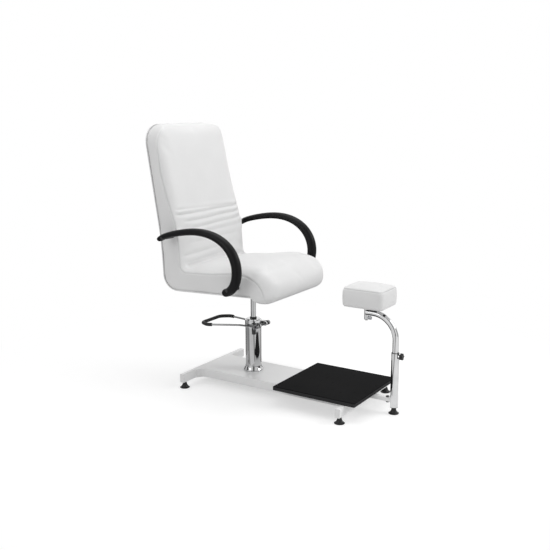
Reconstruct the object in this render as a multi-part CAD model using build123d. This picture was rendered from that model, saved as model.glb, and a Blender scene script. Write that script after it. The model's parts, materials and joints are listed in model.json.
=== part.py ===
from build123d import *
import math
import os

# Pedicure spa chair: an upholstered armchair that swivels on a foot-pumped hydraulic ram, on a low
# steel base with a foot deck, and a small padded leg rest on a telescopic pole in front.
# Millimetres, +Z up.  The chair faces -Y and its right-hand side is -X.
# Everything is drawn about the pump: the pump's axis is x = 0, y = 0 and the floor is z = 0.
# The finished pieces are then moved along Y, so that the origin is the middle of the footprint.

# ---------------------------------------------------------------- base frame
BEAM_L = 500.0          # cross beam with its end caps
BEAM_W = 24.0           # across the beam, along Y
BEAM_H = 42.0
BEAM_WALL = 2.0
BEAM_EDGE_R = 4.0
BEAM_Z = 29.0           # underside of the beams above the floor
CAP_FLANGE = 3.0        # visible thickness of a beam's end cap
CAP_PLUG = 9.0          # how far the cap goes into the beam
FIT = 0.15              # easy fit of plastic in steel, each side
REAR_BEAM_Y = 242.0
PLATFORM_W = 244.0
PLATFORM_SHEET = 2.5
PLATFORM_BLEND_R = 32.0
PLATFORM_LIP = 3.0      # straight lip of the flared end against the beam
DECK_W = 406.0
DECK_L = 410.0
DECK_Y = -443.5
DECK_OVERHANG = 56.5    # from the front beam's middle to the deck's front edge
DECK_BOARD_T = 14.5
DECK_MAT_T = 4.0
DECK_CORNER_R = 5.0
DECK_CHAMFER = 2.0
DECK_SCREW_D = 5.0
DECK_SCREW_X = 90.0
DECK_SCREW_Y = 120.0
DECK_SCREW_MID = -413.5 # middle of the four deck screws
DECK_SCREW_HEAD = 3.0
DECK_SCREW_COVER = 3.0  # board left above a screw's tip
SCREW_FIT = 0.2         # clearance all round a screw or bolt in its hole
THREAD_FIT = 0.04       # on the diameter of a screw in the wood it bites into
HEX_AF = 13.0           # hexagon of the bolts, across the flats
HEX_H = 5.3             # height of a bolt's head

# ---------------------------------------------------------------- levelling feet
FOOT_X = 228.0
FOOT_DISC_D = 46.0
FOOT_DISC_T = 4.0
FOOT_NECK_D = 16.0
FOOT_H = 27.0           # moulded cone, floor to top
STUD_D = 10.0
STUD_L = 26.0           # stud above the cone
STUD_RUN = 0.05         # running clearance of the stud in its nut
NUT_D = 15.5
NUT_H = 10.0

# ---------------------------------------------------------------- hydraulic pump
BARREL_D = 76.0
BARREL_WALL = 2.5
FLANGE_D = 88.0
FLANGE_T = 8.0
SPIGOT_H = 10.0
RING_D = 97.0           # flared trim ring round the barrel's foot
RING_H = 24.0
RING_LIP = 1.6          # thickness of the ring's upper edge
RING_GAP = 0.3
BACKING_SIZE = 112.0
BACKING_T = 5.0
BACKING_R = 8.0
PUMP_BOLT_D = 8.0
PUMP_BOLT_PCD = 64.0
CYLINDER_D = 52.0
CYLINDER_BORE = 44.0
HEAD_TOP_Z = 320.0
HEAD_LID = 4.0
HEAD_PLUG = 20.0
SKIRT_T = 1.6
SKIRT_H = 36.0
CAP_D = 67.0
CAP_T = 6.0
WIPER_D = 33.0
WIPER_TOP_D = 28.0
WIPER_H = 13.0
RAM_D = 25.0
RAM_RUN = 0.05          # running clearance of the ram and its piston
RAM_DOWN = 105.0        # travel below the height shown
RAM_SHOULDER_Z = 447.0
RAM_SPIGOT_D = 18.0
RAM_SPIGOT_H = 36.0
PISTON_H = 18.0
PISTON_STOP = 2.0       # left under the piston at the bottom of its travel
WASHER_D = 36.0
WASHER_T = 2.5

# ---------------------------------------------------------------- pedal and plunger
PIVOT_Y = -50.0
PIVOT_Z = 300.0
SHAFT_D = 12.0
SHAFT_END = 2.5         # shaft end beyond the clip
EAR_X = 26.0            # middle of each ear of the pump head
EAR_T = 8.0
EAR_R = 11.0
CHEEK_X = 49.0          # middle of each fork cheek
CHEEK_T = 12.0
CHEEK_D = 22.0
CHEEK_RUN = 0.05
TAIL_L = 34.0           # taper from the cheek to the rod
TAIL_RISE = 3.0         # keeps the taper clear of the plunger
CLIP_D = 18.0
CLIP_T = 2.0
CLIP_GAP = 0.4
ROD_D = 9.0
ROD_BEND_Y = 48.0       # the rods run straight past the barrel up to here
LOOP_HALF_W = 97.0
LOOP_SHOULDER_Y = 205.0
LOOP_END_Y = 252.0
LOOP_END_HALF_W = 72.0
LOOP_R = 30.0
SPREAD_R = 60.0
LOOP_DROP = 3.2         # degrees that the loop slopes down to the rear
SLEEVE_D = 16.5
SLEEVE_RUN = 0.2
SLEEVE_START_Y = 181.0
PLUNGER_Y = -36.0
PLUNGER_GAP = 0.3
NOSE_R = 6.0            # rounded heel of the cheek that pushes the plunger
NOSE_DROP = 2.0         # heel's centre below the pivot
HOUSING_D = 19.0
HOUSING_BORE = 13.6
HOUSING_Z = 262.0
HOUSING_H = 21.0
HOUSING_FLOOR = 3.0
PLUNGER_D = 6.0
PLUNGER_HEAD_D = 12.0
PLUNGER_HEAD_T = 2.6
GUIDE_D = 8.4
GUIDE_H = 10.0
SPRING_D = 12.0
SPRING_WIRE = 1.2
SPRING_TURNS = 5

# ---------------------------------------------------------------- pole and leg rest
POLE_Y = -738.0
POLE_D = 35.0
POLE_WALL = 2.0
POLE_Z0 = 31.0
POLE_TOP_Z = 275.0
PLUG_H = 22.0
BUSH_L = 70.0
BUSH_FLANGE = 2.0
TUBE_D = 28.0
TUBE_WALL = 2.0
TUBE_RUN = 0.05
TUBE_Z0 = 70.0
TUBE_AXIS_Z = 438.0     # height of the bent tube's level end
TUBE_BEND_R = 110.0
SOCKET_Y = -596.0
SOCKET_D = 20.0
SOCKET_Z0 = 405.0
SOCKET_TOP_Z = 455.0
POST_D = 14.0
POST_RUN = 0.05
POST_GAP = 0.3
POST_BOSS_D = 26.0
STRUT_W = 20.0
STRUT_H = 18.0
STRUT_WALL = 2.0
STRUT_DROP = 0.5        # top of the strut below the top of the beam
LUG_L = 40.0
STRUT_BOLT_D = 8.0
STRUT_NUT_H = 6.0
STRUT_BOLT_OFF = 13.0   # bolt's axis from the pole's surface
KNOB_Z = 262.0
KNOB_D = 31.0
KNOB_T = 13.0
KNOB_NECK = 2.0
KNOB_LOBES = 5
KNOB_BOSS_D = 16.0
KNOB_BOSS_L = 3.0
CLAMP_D = 8.0
LOCK_D = 6.0
LOCK_Z = 413.5
LOCK_HEAD_D = 15.0
LOCK_HEAD_T = 12.0
LOCK_FLUTES = 8
PAD_W = 168.0
PAD_L = 196.0
PAD_H = 84.0
PAD_Y = -609.0
PAD_Z = 470.0
PAD_CORNER_R = 20.0
PAD_EDGE_R = 15.0
PAD_BOARD_T = 10.0
PAD_BOARD_IN = 8.0      # board's edge inside the cushion's side
PAD_PLATE_L = 96.0
PAD_PLATE_W = 60.0
PAD_PLATE_T = 3.0
PAD_SCREW_D = 4.0

# ---------------------------------------------------------------- seat and back
SEAT_W = 520.0
COVER_T = 4.0           # bottom board and outer back cover
PLY_T = 12.0
PLY_INSET = 10.0        # the cushions wrap the board's edges by this much
BEND_R = 75.0           # bend between seat and back, on the outside
LUMBAR_R = 1500.0
FRONT_FACE_R = 900.0
CREASE_R = 10.0
DIP_R = 600.0
CREST_R = 200.0
COVER_SPLIT_Y = 240.0   # seam between the bottom board and the outer back cover
SEAT_FRONT_Y = -156.0   # front edge of the seat board
SEAT_Z0 = 487.3         # outside of the bottom board over the pump's axis
SEAT_RISE = 2.5         # degrees that the seat rises to the front
BACK_FOOT_Y = 326.0     # outside of the back where it meets the seat's underside
BACK_KINK = (338.0, 704.0)
BACK_TOP = (428.0, 1232.0)
FACE_TOP_Y = 347.0
FACE_KINK = (226.0, 739.0)
SEAT_CREASE = (219.0, 588.0)
SEAT_DIP = (30.0, 602.0)
SEAT_CREST = (-115.0, 626.0)
NOSE_Y = -262.0
NOSE_TOP_Z = 608.0
NOSE_BOTTOM_Z = 462.0
NOSE_TOP_R = 85.0
NOSE_BOTTOM_R = 58.0
BACK_CORNER_R = 95.0    # rounded top corners, seen from the front
PAD_SIDE_R = 26.0       # rounding from the face of a cushion to its side
SPLIT_REACH = 65.0      # the back cushion's foot, in front of the crease
PLATE_SIZE = 180.0
PLATE_T = 5.0
PLATE_Y = 20.0
SEAT_BOLT_D = 8.0
SEAT_BOLT_X = 70.0
HUB_D = 38.0
HUB_GAP = 0.3
HUB_RUN = 0.05
WEB_T = 5.0
WEB_L = 45.0

# ---------------------------------------------------------------- arms
ARM_GAP = 40.0          # from the seat's side to the arm
ARM_W = 44.0
# points of the arm's centre line (y, z) and its thickness there, from the back to the seat
ARM_LINE = [
    ((286.0, 728.0), 25.0),
    ((182.0, 762.0), 29.0),
    ((74.0, 775.0), 32.0),
    ((-30.0, 757.0), 37.0),
    ((-105.0, 701.0), 43.0),
    ((-133.0, 622.0), 45.0),
    ((-119.0, 557.0), 42.0),
    ((-74.0, 521.0), 36.0),
]
ARM_END = 13.0          # length of the rounded end
ARM_END_TURNS = (0.0, 30.0, 55.0, 75.0)     # degrees round the end at which its facets meet
ARM_BOLT_D = 8.0
ARM_HEAD_D = 13.0
ARM_HEAD_T = 7.0
ARM_RECESS_D = 15.0
ARM_RECESS = 9.0
ARM_BOLTS = [(268.0, 735.0), (-92.0, 535.0)]
SPACER_D = 22.0
SPOT_FACE = 3.0         # flat seat for the spacer in the arm's inner side
BLOCK_T = 24.0          # hardwood block that takes the arm bolt, across the chair
BLOCK_SKIN = 3.0        # cushion left outside the block
BLOCK_REACH = 18.0      # block beyond the bolt
BLOCK_H = 34.0

HALF_SEAT = SEAT_W / 2
PLY_W = SEAT_W - 2 * PLY_INSET
ARM_X = HALF_SEAT + ARM_GAP + ARM_W / 2
FRONT_BEAM_Y = DECK_Y - DECK_L / 2 + DECK_OVERHANG
BASE_TOP = BEAM_Z + BEAM_H
POLE_R = POLE_D / 2
FRONT_REACH = -POLE_Y + POLE_R + KNOB_BOSS_L + POST_GAP + KNOB_NECK + KNOB_T
REAR_REACH = BACK_TOP[0]
PUMP_Y = (FRONT_REACH - REAR_REACH) / 2

parts = {}


# ---------------------------------------------------------------- helpers
def block(x0, x1, y0, y1, z0, z1):
    return Pos((x0 + x1) / 2, (y0 + y1) / 2, (z0 + z1) / 2) * Box(x1 - x0, y1 - y0, z1 - z0)


def rod(diameter, z0, z1, x=0.0, y=0.0):
    return Pos(x, y, (z0 + z1) / 2) * Cylinder(diameter / 2, z1 - z0)


def rod_x(diameter, x0, x1, y, z):
    return Pos((x0 + x1) / 2, y, z) * Rot(0, 90, 0) * Cylinder(diameter / 2, x1 - x0)


def rod_y(diameter, y0, y1, x, z):
    return Pos(x, (y0 + y1) / 2, z) * Rot(90, 0, 0) * Cylinder(diameter / 2, y1 - y0)


def turned(points):
    """Solid of revolution about Z from (radius, height) points."""
    profile = make_face(Plane.XZ * Polyline(*points, close=True))
    return revolve(profile, Axis.Z)


def hex_bolt(diameter, shank):
    """Bolt with its head on top: the head's underside is z = 0 and the shank goes down."""
    head = extrude(RegularPolygon(HEX_AF / 2, 6, major_radius=False), HEX_H)
    return head + rod(diameter, -shank, 0)


def grid(dx, dy, y=0.0):
    return [(sx * dx, y + sy * dy) for sx in (-1, 1) for sy in (-1, 1)]


# ---------------------------------------------------------------- base frame
def cross_beam(y):
    tube_l = BEAM_L - 2 * CAP_FLANGE
    outer = RectangleRounded(BEAM_W, BEAM_H, BEAM_EDGE_R)
    inner = RectangleRounded(BEAM_W - 2 * BEAM_WALL, BEAM_H - 2 * BEAM_WALL, BEAM_EDGE_R - BEAM_WALL)
    section = Plane.YZ * (outer - inner)
    tube = Pos(-tube_l / 2, y, BEAM_Z + BEAM_H / 2) * extrude(section, tube_l, dir=(1, 0, 0))
    for x in (-FOOT_X, FOOT_X):
        tube -= rod(STUD_D + 1, BEAM_Z - 1, BEAM_Z + BEAM_WALL + 1, x, y)
    return tube


def beam_caps():
    caps = []
    plug_w = BEAM_W - 2 * (BEAM_WALL + FIT)
    plug_h = BEAM_H - 2 * (BEAM_WALL + FIT)
    flange = extrude(Plane.YZ * RectangleRounded(BEAM_W, BEAM_H, BEAM_EDGE_R), CAP_FLANGE)
    flange = chamfer(flange.faces().sort_by(Axis.X)[-1].edges(), CAP_FLANGE / 3)
    plug = extrude(Plane.YZ * RectangleRounded(plug_w, plug_h, BEAM_EDGE_R - BEAM_WALL), -CAP_PLUG)
    well = extrude(Plane.YZ * Rectangle(plug_w - 2 * CAP_FLANGE, plug_h - 2 * CAP_FLANGE), -CAP_PLUG)
    cap = flange + (plug - well)
    for y in (REAR_BEAM_Y, FRONT_BEAM_Y):
        for turn in (0, 180):
            place = Pos(0, y, BEAM_Z + BEAM_H / 2) * Rot(0, 0, turn)
            caps.append(place * Pos(BEAM_L / 2 - CAP_FLANGE, 0, 0) * cap)
    return caps


def flared_plan(width, y0, y1, radius, lip):
    """Rectangle whose ends flare out through concave blends to meet the cross beams."""
    half = width / 2
    plan = Pos(0, (y0 + y1) / 2) * Rectangle(width, y1 - y0)
    for y, inward in ((y0, 1), (y1, -1)):
        plan += Pos(0, y + inward * lip / 2) * Rectangle(width + 2 * radius, lip)
    corners = [v for v in plan.vertices() if abs(abs(v.X) - half) < 0.01]
    return fillet(corners, radius)


def platform():
    """Top sheet of the base and the two side sheets welded under it, flared to meet the cross beams."""
    y0 = FRONT_BEAM_Y + BEAM_W / 2
    y1 = REAR_BEAM_Y - BEAM_W / 2
    sheet = PLATFORM_SHEET
    outer = flared_plan(PLATFORM_W, y0, y1, PLATFORM_BLEND_R, PLATFORM_LIP)
    inner_w = PLATFORM_W - 2 * sheet
    inner = flared_plan(inner_w, y0 - 1, y1 + 1, PLATFORM_BLEND_R + sheet, PLATFORM_LIP + 1 - sheet)
    inner &= Pos(0, (y0 + y1) / 2) * Rectangle(inner_w + 2 * PLATFORM_BLEND_R, y1 - y0 + 2)
    sides = Pos(0, 0, BEAM_Z) * extrude(outer - inner, BEAM_H - sheet)
    top = Pos(0, 0, BASE_TOP - sheet) * extrude(outer, sheet)
    hole = PUMP_BOLT_D + 2 * SCREW_FIT
    for place in PolarLocations(PUMP_BOLT_PCD / 2, 4, start_angle=45):
        top -= place * rod(hole, BASE_TOP - sheet - 1, BASE_TOP + 1)
    for x, y in grid(DECK_SCREW_X, DECK_SCREW_Y, DECK_SCREW_MID):
        top -= rod(DECK_SCREW_D + 2 * SCREW_FIT, BASE_TOP - sheet - 1, BASE_TOP + 1, x, y)
    return top, sides


def deck():
    board = Pos(0, DECK_Y, BASE_TOP) * extrude(RectangleRounded(DECK_W, DECK_L, DECK_CORNER_R), DECK_BOARD_T)
    board = chamfer(board.faces().sort_by(Axis.Z)[0].edges(), DECK_CHAMFER)
    screws = []
    bite = DECK_BOARD_T - DECK_SCREW_COVER
    under = BASE_TOP - PLATFORM_SHEET
    for x, y in grid(DECK_SCREW_X, DECK_SCREW_Y, DECK_SCREW_MID):
        board -= rod(DECK_SCREW_D, BASE_TOP, BASE_TOP + bite, x, y)
        head = rod(2 * DECK_SCREW_D, under - DECK_SCREW_HEAD, under, x, y)
        head = chamfer(head.faces().sort_by(Axis.Z)[0].edges(), 1)
        screws.append(head + rod(DECK_SCREW_D - THREAD_FIT, under, BASE_TOP + bite, x, y))
    plan = RectangleRounded(DECK_W, DECK_L, DECK_CORNER_R)
    mat = Pos(0, DECK_Y, BASE_TOP + DECK_BOARD_T) * extrude(plan, DECK_MAT_T)
    mat = chamfer(mat.faces().sort_by(Axis.Z)[-1].edges(), DECK_CHAMFER)
    return board, mat, screws


# ---------------------------------------------------------------- levelling feet
def foot_nut():
    return rod(NUT_D, 0, NUT_H) - rod(STUD_D + 2 * STUD_RUN, -1, NUT_H + 1)


def levelling_foot():
    disc_r = FOOT_DISC_D / 2
    neck_r = FOOT_NECK_D / 2
    lip = 1.0
    cone = turned([
        (0, 0),
        (disc_r - lip, 0),
        (disc_r, lip),
        (disc_r, FOOT_DISC_T - lip),
        (disc_r - 2 * lip, FOOT_DISC_T),
        (disc_r - 6 * lip, FOOT_DISC_T + 2 * lip),
        (neck_r + 4 * lip, FOOT_H * 0.55),
        (neck_r, FOOT_H),
        (0, FOOT_H),
    ])
    return cone + rod(STUD_D, FOOT_H, FOOT_H + STUD_L)


# ---------------------------------------------------------------- hydraulic pump
def pump_base():
    backing_top = BASE_TOP - PLATFORM_SHEET
    backing = extrude(RectangleRounded(BACKING_SIZE, BACKING_SIZE, BACKING_R), BACKING_T)
    backing = Pos(0, 0, backing_top - BACKING_T) * backing
    flange_top = BASE_TOP + FLANGE_T
    spigot_d = BARREL_D - 2 * (BARREL_WALL + FIT)
    flange = rod(FLANGE_D, BASE_TOP, flange_top)
    spigot = rod(spigot_d, flange_top, flange_top + SPIGOT_H)
    flange += spigot - rod(CYLINDER_D + 2 * FIT, flange_top, flange_top + SPIGOT_H)
    bolts = []
    hole = PUMP_BOLT_D + 2 * SCREW_FIT
    shank = BACKING_T + PLATFORM_SHEET + FLANGE_T - 1
    bolt = Rot(180, 0, 0) * hex_bolt(PUMP_BOLT_D, shank)
    for place in PolarLocations(PUMP_BOLT_PCD / 2, 4, start_angle=45):
        backing -= place * rod(hole, backing_top - BACKING_T - 1, backing_top + 1)
        flange -= place * rod(hole, BASE_TOP - 1, flange_top - 1 + 0.2)
        bolts.append(Pos(0, 0, backing_top - BACKING_T) * place * bolt)
    return backing, flange, bolts


def base_ring():
    """Flared trim ring: a rounded bead at the foot that sweeps up to the barrel."""
    inner = FLANGE_D / 2 + RING_GAP
    neck = BARREL_D / 2 + RING_GAP
    outer = RING_D / 2
    z0 = BASE_TOP
    z1 = z0 + FLANGE_T + RING_GAP
    top = z0 + RING_H
    foot = (outer - 2.5, z0)
    bead = (outer - 2, z0 + RING_H / 3)
    lip = (neck + RING_LIP, top)
    outline = ThreePointArc(foot, (outer, z0 + RING_H / 6), bead)
    outline += ThreePointArc(bead, (neck + 4.5, z0 + 14), lip)
    outline += Polyline(lip, (neck, top), (neck, z1), (inner, z1), (inner, z0), foot)
    return revolve(make_face(Plane.XZ * outline), Axis.Z)


def pump_barrel():
    z0 = BASE_TOP + FLANGE_T
    z1 = HEAD_TOP_Z - HEAD_LID
    return rod(BARREL_D, z0, z1) - rod(BARREL_D - 2 * BARREL_WALL, z0 - 1, z1 + 1)


def inner_cylinder():
    z0 = BASE_TOP + FLANGE_T
    z1 = HEAD_TOP_Z - HEAD_LID - HEAD_PLUG
    return rod(CYLINDER_D, z0, z1) - rod(CYLINDER_BORE, z0 - 1, z1 + 1)


def pump_head():
    """Casting that closes the barrel, with a skirt, two pivot ears and an arm to the plunger housing."""
    lid_z = HEAD_TOP_Z - HEAD_LID
    skirt_r = BARREL_D / 2 + FIT + SKIRT_T
    head = rod(2 * skirt_r, HEAD_TOP_Z - SKIRT_H, HEAD_TOP_Z)
    head = fillet(head.faces().sort_by(Axis.Z)[-1].edges(), 1.5)
    for side in (-1, 1):
        ear = rod_x(2 * EAR_R, -EAR_T / 2, EAR_T / 2, PIVOT_Y, PIVOT_Z)
        ear += block(-EAR_T / 2, EAR_T / 2, PIVOT_Y, -20, PIVOT_Z - EAR_R, PIVOT_Z + EAR_R)
        head += Pos(side * EAR_X, 0, 0) * ear
    arm_z = HOUSING_Z + 6
    reach = math.hypot(CHEEK_X, PLUNGER_Y)
    bearing = math.degrees(math.atan2(PLUNGER_Y, -CHEEK_X))
    web = block(skirt_r - 4, reach, -HOUSING_D / 2 + 4, HOUSING_D / 2 - 4, arm_z, HOUSING_Z + HOUSING_H - 1)
    foot = block(skirt_r - 4, skirt_r + 3, -HOUSING_D / 2, HOUSING_D / 2, arm_z, HEAD_TOP_Z - SKIRT_H + 4)
    head += Rot(0, 0, bearing) * (web + foot)
    head -= rod(HOUSING_D, HOUSING_Z - 1, HOUSING_Z + HOUSING_H + 20, -CHEEK_X, PLUNGER_Y)
    head -= rod(BARREL_D + 2 * FIT, HOUSING_Z, lid_z)
    head += rod(BARREL_D - 2 * (BARREL_WALL + FIT), lid_z - HEAD_PLUG, lid_z)
    head -= rod(RAM_D + 2 * RAM_RUN, lid_z - HEAD_PLUG - 1, HEAD_TOP_Z + 1)
    head -= rod_x(SHAFT_D + 0.1, -CHEEK_X, CHEEK_X, PIVOT_Y, PIVOT_Z)
    return head


def head_trim():
    bore = RAM_D + 2 * RAM_RUN
    wiper = turned([
        (bore / 2, HEAD_TOP_Z),
        (WIPER_D / 2, HEAD_TOP_Z),
        (WIPER_D / 2, HEAD_TOP_Z + CAP_T + 2),
        (WIPER_TOP_D / 2 + 1, HEAD_TOP_Z + CAP_T + 5),
        (WIPER_TOP_D / 2, HEAD_TOP_Z + WIPER_H),
        (bore / 2, HEAD_TOP_Z + WIPER_H),
    ])
    cap = rod(CAP_D, HEAD_TOP_Z, HEAD_TOP_Z + CAP_T)
    cap = fillet(cap.faces().sort_by(Axis.Z)[-1].edges(), 2)
    cap -= rod(WIPER_D + 2 * FIT, HEAD_TOP_Z - 1, HEAD_TOP_Z + CAP_T + 1)
    return cap, wiper


def pivot_shaft():
    half = CHEEK_X + CHEEK_T / 2 + CLIP_GAP + CLIP_T + SHAFT_END
    shaft = rod_x(SHAFT_D, -half, half, PIVOT_Y, PIVOT_Z)
    shaft = chamfer(shaft.edges().filter_by(GeomType.CIRCLE), 1)
    clips = []
    for side in (-1, 1):
        x0 = side * (CHEEK_X + CHEEK_T / 2 + CLIP_GAP)
        x1 = x0 + side * CLIP_T
        clip = rod_x(CLIP_D, min(x0, x1), max(x0, x1), PIVOT_Y, PIVOT_Z)
        groove = rod_x(SHAFT_D + 0.1, -half, half, PIVOT_Y, PIVOT_Z)
        clips.append(clip - groove)
    return shaft, clips


def plunger_parts():
    floor = HOUSING_Z + HOUSING_FLOOR
    top = HOUSING_Z + HOUSING_H
    housing = rod(HOUSING_D, HOUSING_Z, top)
    housing = fillet(housing.faces().sort_by(Axis.Z)[0].edges(), 2)
    housing -= rod(HOUSING_BORE, floor, top + 1)
    housing += rod(GUIDE_D, floor, floor + GUIDE_H)
    housing -= rod(PLUNGER_D + 0.1, HOUSING_Z - 1, top)
    head_top = PIVOT_Z - NOSE_DROP - NOSE_R - PLUNGER_GAP
    head_bottom = head_top - PLUNGER_HEAD_T
    plunger = rod(PLUNGER_HEAD_D, head_bottom, head_top) + rod(PLUNGER_D, HOUSING_Z + 1, head_bottom)
    plunger = chamfer(plunger.faces().sort_by(Axis.Z)[-1].edges(), 0.8)
    seat = 0.1
    height = head_bottom - floor - SPRING_WIRE - 2 * seat
    coil = Helix(height / SPRING_TURNS, height, (SPRING_D - SPRING_WIRE) / 2)
    wire = sweep(Plane(coil @ 0, z_dir=coil % 0) * RegularPolygon(SPRING_WIRE / 2, 6), coil)
    spring = Pos(0, 0, floor + SPRING_WIRE / 2 + seat) * wire
    place = Pos(-CHEEK_X, PLUNGER_Y, 0)
    return place * housing, place * plunger, place * spring


# ---------------------------------------------------------------- pedal
def loop_path(start):
    """Flat centre line of the pedal loop, from start on the right, round to the left."""
    corners = [start]
    radii = []
    if start[1] < ROD_BEND_Y:
        corners.append((CHEEK_X, ROD_BEND_Y))
        radii.append(SPREAD_R)
    corners += [(LOOP_HALF_W, LOOP_SHOULDER_Y), (LOOP_END_HALF_W, LOOP_END_Y)]
    radii += [LOOP_R, LOOP_R]
    mirrored = [(-x, y) for x, y in reversed(corners)]
    return FilletPolyline(*corners, *mirrored, radius=radii + radii[::-1])


def loop_solid(start, diameter):
    path = loop_path(start)
    solid = sweep(Plane(path @ 0, z_dir=path % 0) * Circle(diameter / 2), path)
    return Pos(0, 0, PIVOT_Z) * solid


def pedal():
    """Fork of two cheeks and one bent rod, and the rubber sleeve on its outer end."""
    slope = (LOOP_HALF_W - CHEEK_X) / (LOOP_SHOULDER_Y - ROD_BEND_Y)
    sleeve_start = (CHEEK_X + slope * (SLEEVE_START_Y - ROD_BEND_Y), SLEEVE_START_Y)
    pivot = Axis((0, PIVOT_Y, PIVOT_Z), (1, 0, 0))
    fork = loop_solid((CHEEK_X, PIVOT_Y + 8), ROD_D).rotate(pivot, -LOOP_DROP)
    half = CHEEK_T / 2
    for side in (-1, 1):
        cheek = rod_x(CHEEK_D, -half, half, PIVOT_Y, PIVOT_Z)
        tail = loft([
            Pos(0, PIVOT_Y, PIVOT_Z + TAIL_RISE) * (Plane.XZ * Rectangle(CHEEK_T, CHEEK_T)),
            Pos(0, PIVOT_Y + TAIL_L, PIVOT_Z) * (Plane.XZ * Rectangle(ROD_D + 2, ROD_D + 3)),
        ])
        fork += Pos(side * CHEEK_X, 0, 0) * (cheek + tail)
    heel_z = PIVOT_Z - NOSE_DROP
    heel = rod_x(2 * NOSE_R, -half, half, PLUNGER_Y, heel_z)
    heel += block(-half, half, PLUNGER_Y - NOSE_R, PLUNGER_Y + NOSE_R, heel_z, PIVOT_Z)
    fork += Pos(-CHEEK_X, 0, 0) * heel
    fork -= rod_x(SHAFT_D + 2 * CHEEK_RUN, -2 * CHEEK_X, 2 * CHEEK_X, PIVOT_Y, PIVOT_Z)
    sleeve = loop_solid(sleeve_start, SLEEVE_D) - loop_solid(sleeve_start, ROD_D + 2 * SLEEVE_RUN)
    return fork, sleeve.rotate(pivot, -LOOP_DROP)


# ---------------------------------------------------------------- ram
def ram():
    z0 = BASE_TOP + FLANGE_T + PISTON_STOP + RAM_DOWN
    rod_part = rod(RAM_D, z0, RAM_SHOULDER_Z)
    rod_part += rod(RAM_SPIGOT_D, RAM_SHOULDER_Z, RAM_SHOULDER_Z + RAM_SPIGOT_H)
    rod_part = chamfer(rod_part.faces().sort_by(Axis.Z)[-1].edges(), 1.5)
    piston = rod(CYLINDER_BORE - 2 * RAM_RUN, z0, z0 + PISTON_H) - rod(RAM_D, z0 - 1, z0 + PISTON_H + 1)
    washer = rod(WASHER_D, RAM_SHOULDER_Z, RAM_SHOULDER_Z + WASHER_T)
    washer -= rod(RAM_SPIGOT_D, RAM_SHOULDER_Z - 1, RAM_SHOULDER_Z + WASHER_T + 1)
    return rod_part, piston, washer


# ---------------------------------------------------------------- pole and leg rest
def pole_strut():
    y0 = POLE_Y
    y1 = FRONT_BEAM_Y - BEAM_W / 2
    top = BASE_TOP - STRUT_DROP
    strut = block(-STRUT_W / 2, STRUT_W / 2, y0, y1, top - STRUT_H, top)
    wall = STRUT_WALL
    strut -= block(wall - STRUT_W / 2, STRUT_W / 2 - wall, y0, y1, top - STRUT_H + wall, top - wall)
    strut -= rod(POLE_D, 0, BASE_TOP + 1, 0, POLE_Y)
    bolt_y = POLE_Y + POLE_R + STRUT_BOLT_OFF
    strut -= rod(STRUT_BOLT_D + 2 * SCREW_FIT, 0, BASE_TOP + 1, 0, bolt_y)
    bolt = Pos(0, bolt_y, top) * hex_bolt(STRUT_BOLT_D, STRUT_H + STRUT_NUT_H)
    nut = extrude(RegularPolygon(HEX_AF / 2, 6, major_radius=False), STRUT_NUT_H)
    nut = Pos(0, bolt_y, top - STRUT_H - STRUT_NUT_H) * nut
    nut -= rod(STRUT_BOLT_D, 0, BASE_TOP, 0, bolt_y)
    return strut, [bolt, nut]


def pole_tube():
    wall = POLE_WALL
    tube = rod(POLE_D, POLE_Z0, POLE_TOP_Z, 0, POLE_Y)
    top = BASE_TOP - STRUT_DROP - STRUT_WALL - FIT
    low = top - STRUT_H + 2 * (STRUT_WALL + FIT)
    half = STRUT_W / 2 - STRUT_WALL - FIT
    lug = block(-half, half, POLE_Y, POLE_Y + POLE_R + LUG_L, low, top)
    lug -= rod(STRUT_BOLT_D + 2 * SCREW_FIT, 0, BASE_TOP, 0, POLE_Y + POLE_R + STRUT_BOLT_OFF)
    tube += lug
    boss_end = POLE_Y - POLE_R - KNOB_BOSS_L
    tube += rod_y(KNOB_BOSS_D, boss_end, POLE_Y, 0, KNOB_Z)
    tube -= rod(POLE_D - 2 * wall, POLE_Z0 - 1, POLE_TOP_Z + 1, 0, POLE_Y)
    tube -= rod_y(CLAMP_D + 2 * STUD_RUN, boss_end - 1, POLE_Y, 0, KNOB_Z)
    return tube


def pole_fittings():
    bore = POLE_D - 2 * POLE_WALL
    bush = rod(bore - 2 * FIT, POLE_TOP_Z - BUSH_L, POLE_TOP_Z, 0, POLE_Y)
    flange = rod(POLE_D, POLE_TOP_Z, POLE_TOP_Z + BUSH_FLANGE, 0, POLE_Y)
    bush += fillet(flange.faces().sort_by(Axis.Z)[-1].edges(), 1.5)
    bush -= rod(TUBE_D + 2 * TUBE_RUN, 0, POLE_TOP_Z + BUSH_FLANGE + 1, 0, POLE_Y)
    bush -= rod_y(CLAMP_D + 1, POLE_Y - POLE_D, POLE_Y, 0, KNOB_Z)
    plug = rod(bore - 2 * FIT, POLE_Z0, POLE_Z0 + PLUG_H, 0, POLE_Y)
    plug += rod(POLE_D, POLE_Z0 - 2, POLE_Z0, 0, POLE_Y)
    plug -= rod(STUD_D + 2 * STUD_RUN, 0, POLE_Z0 + PLUG_H + 1, 0, POLE_Y)
    return bush, plug


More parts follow.
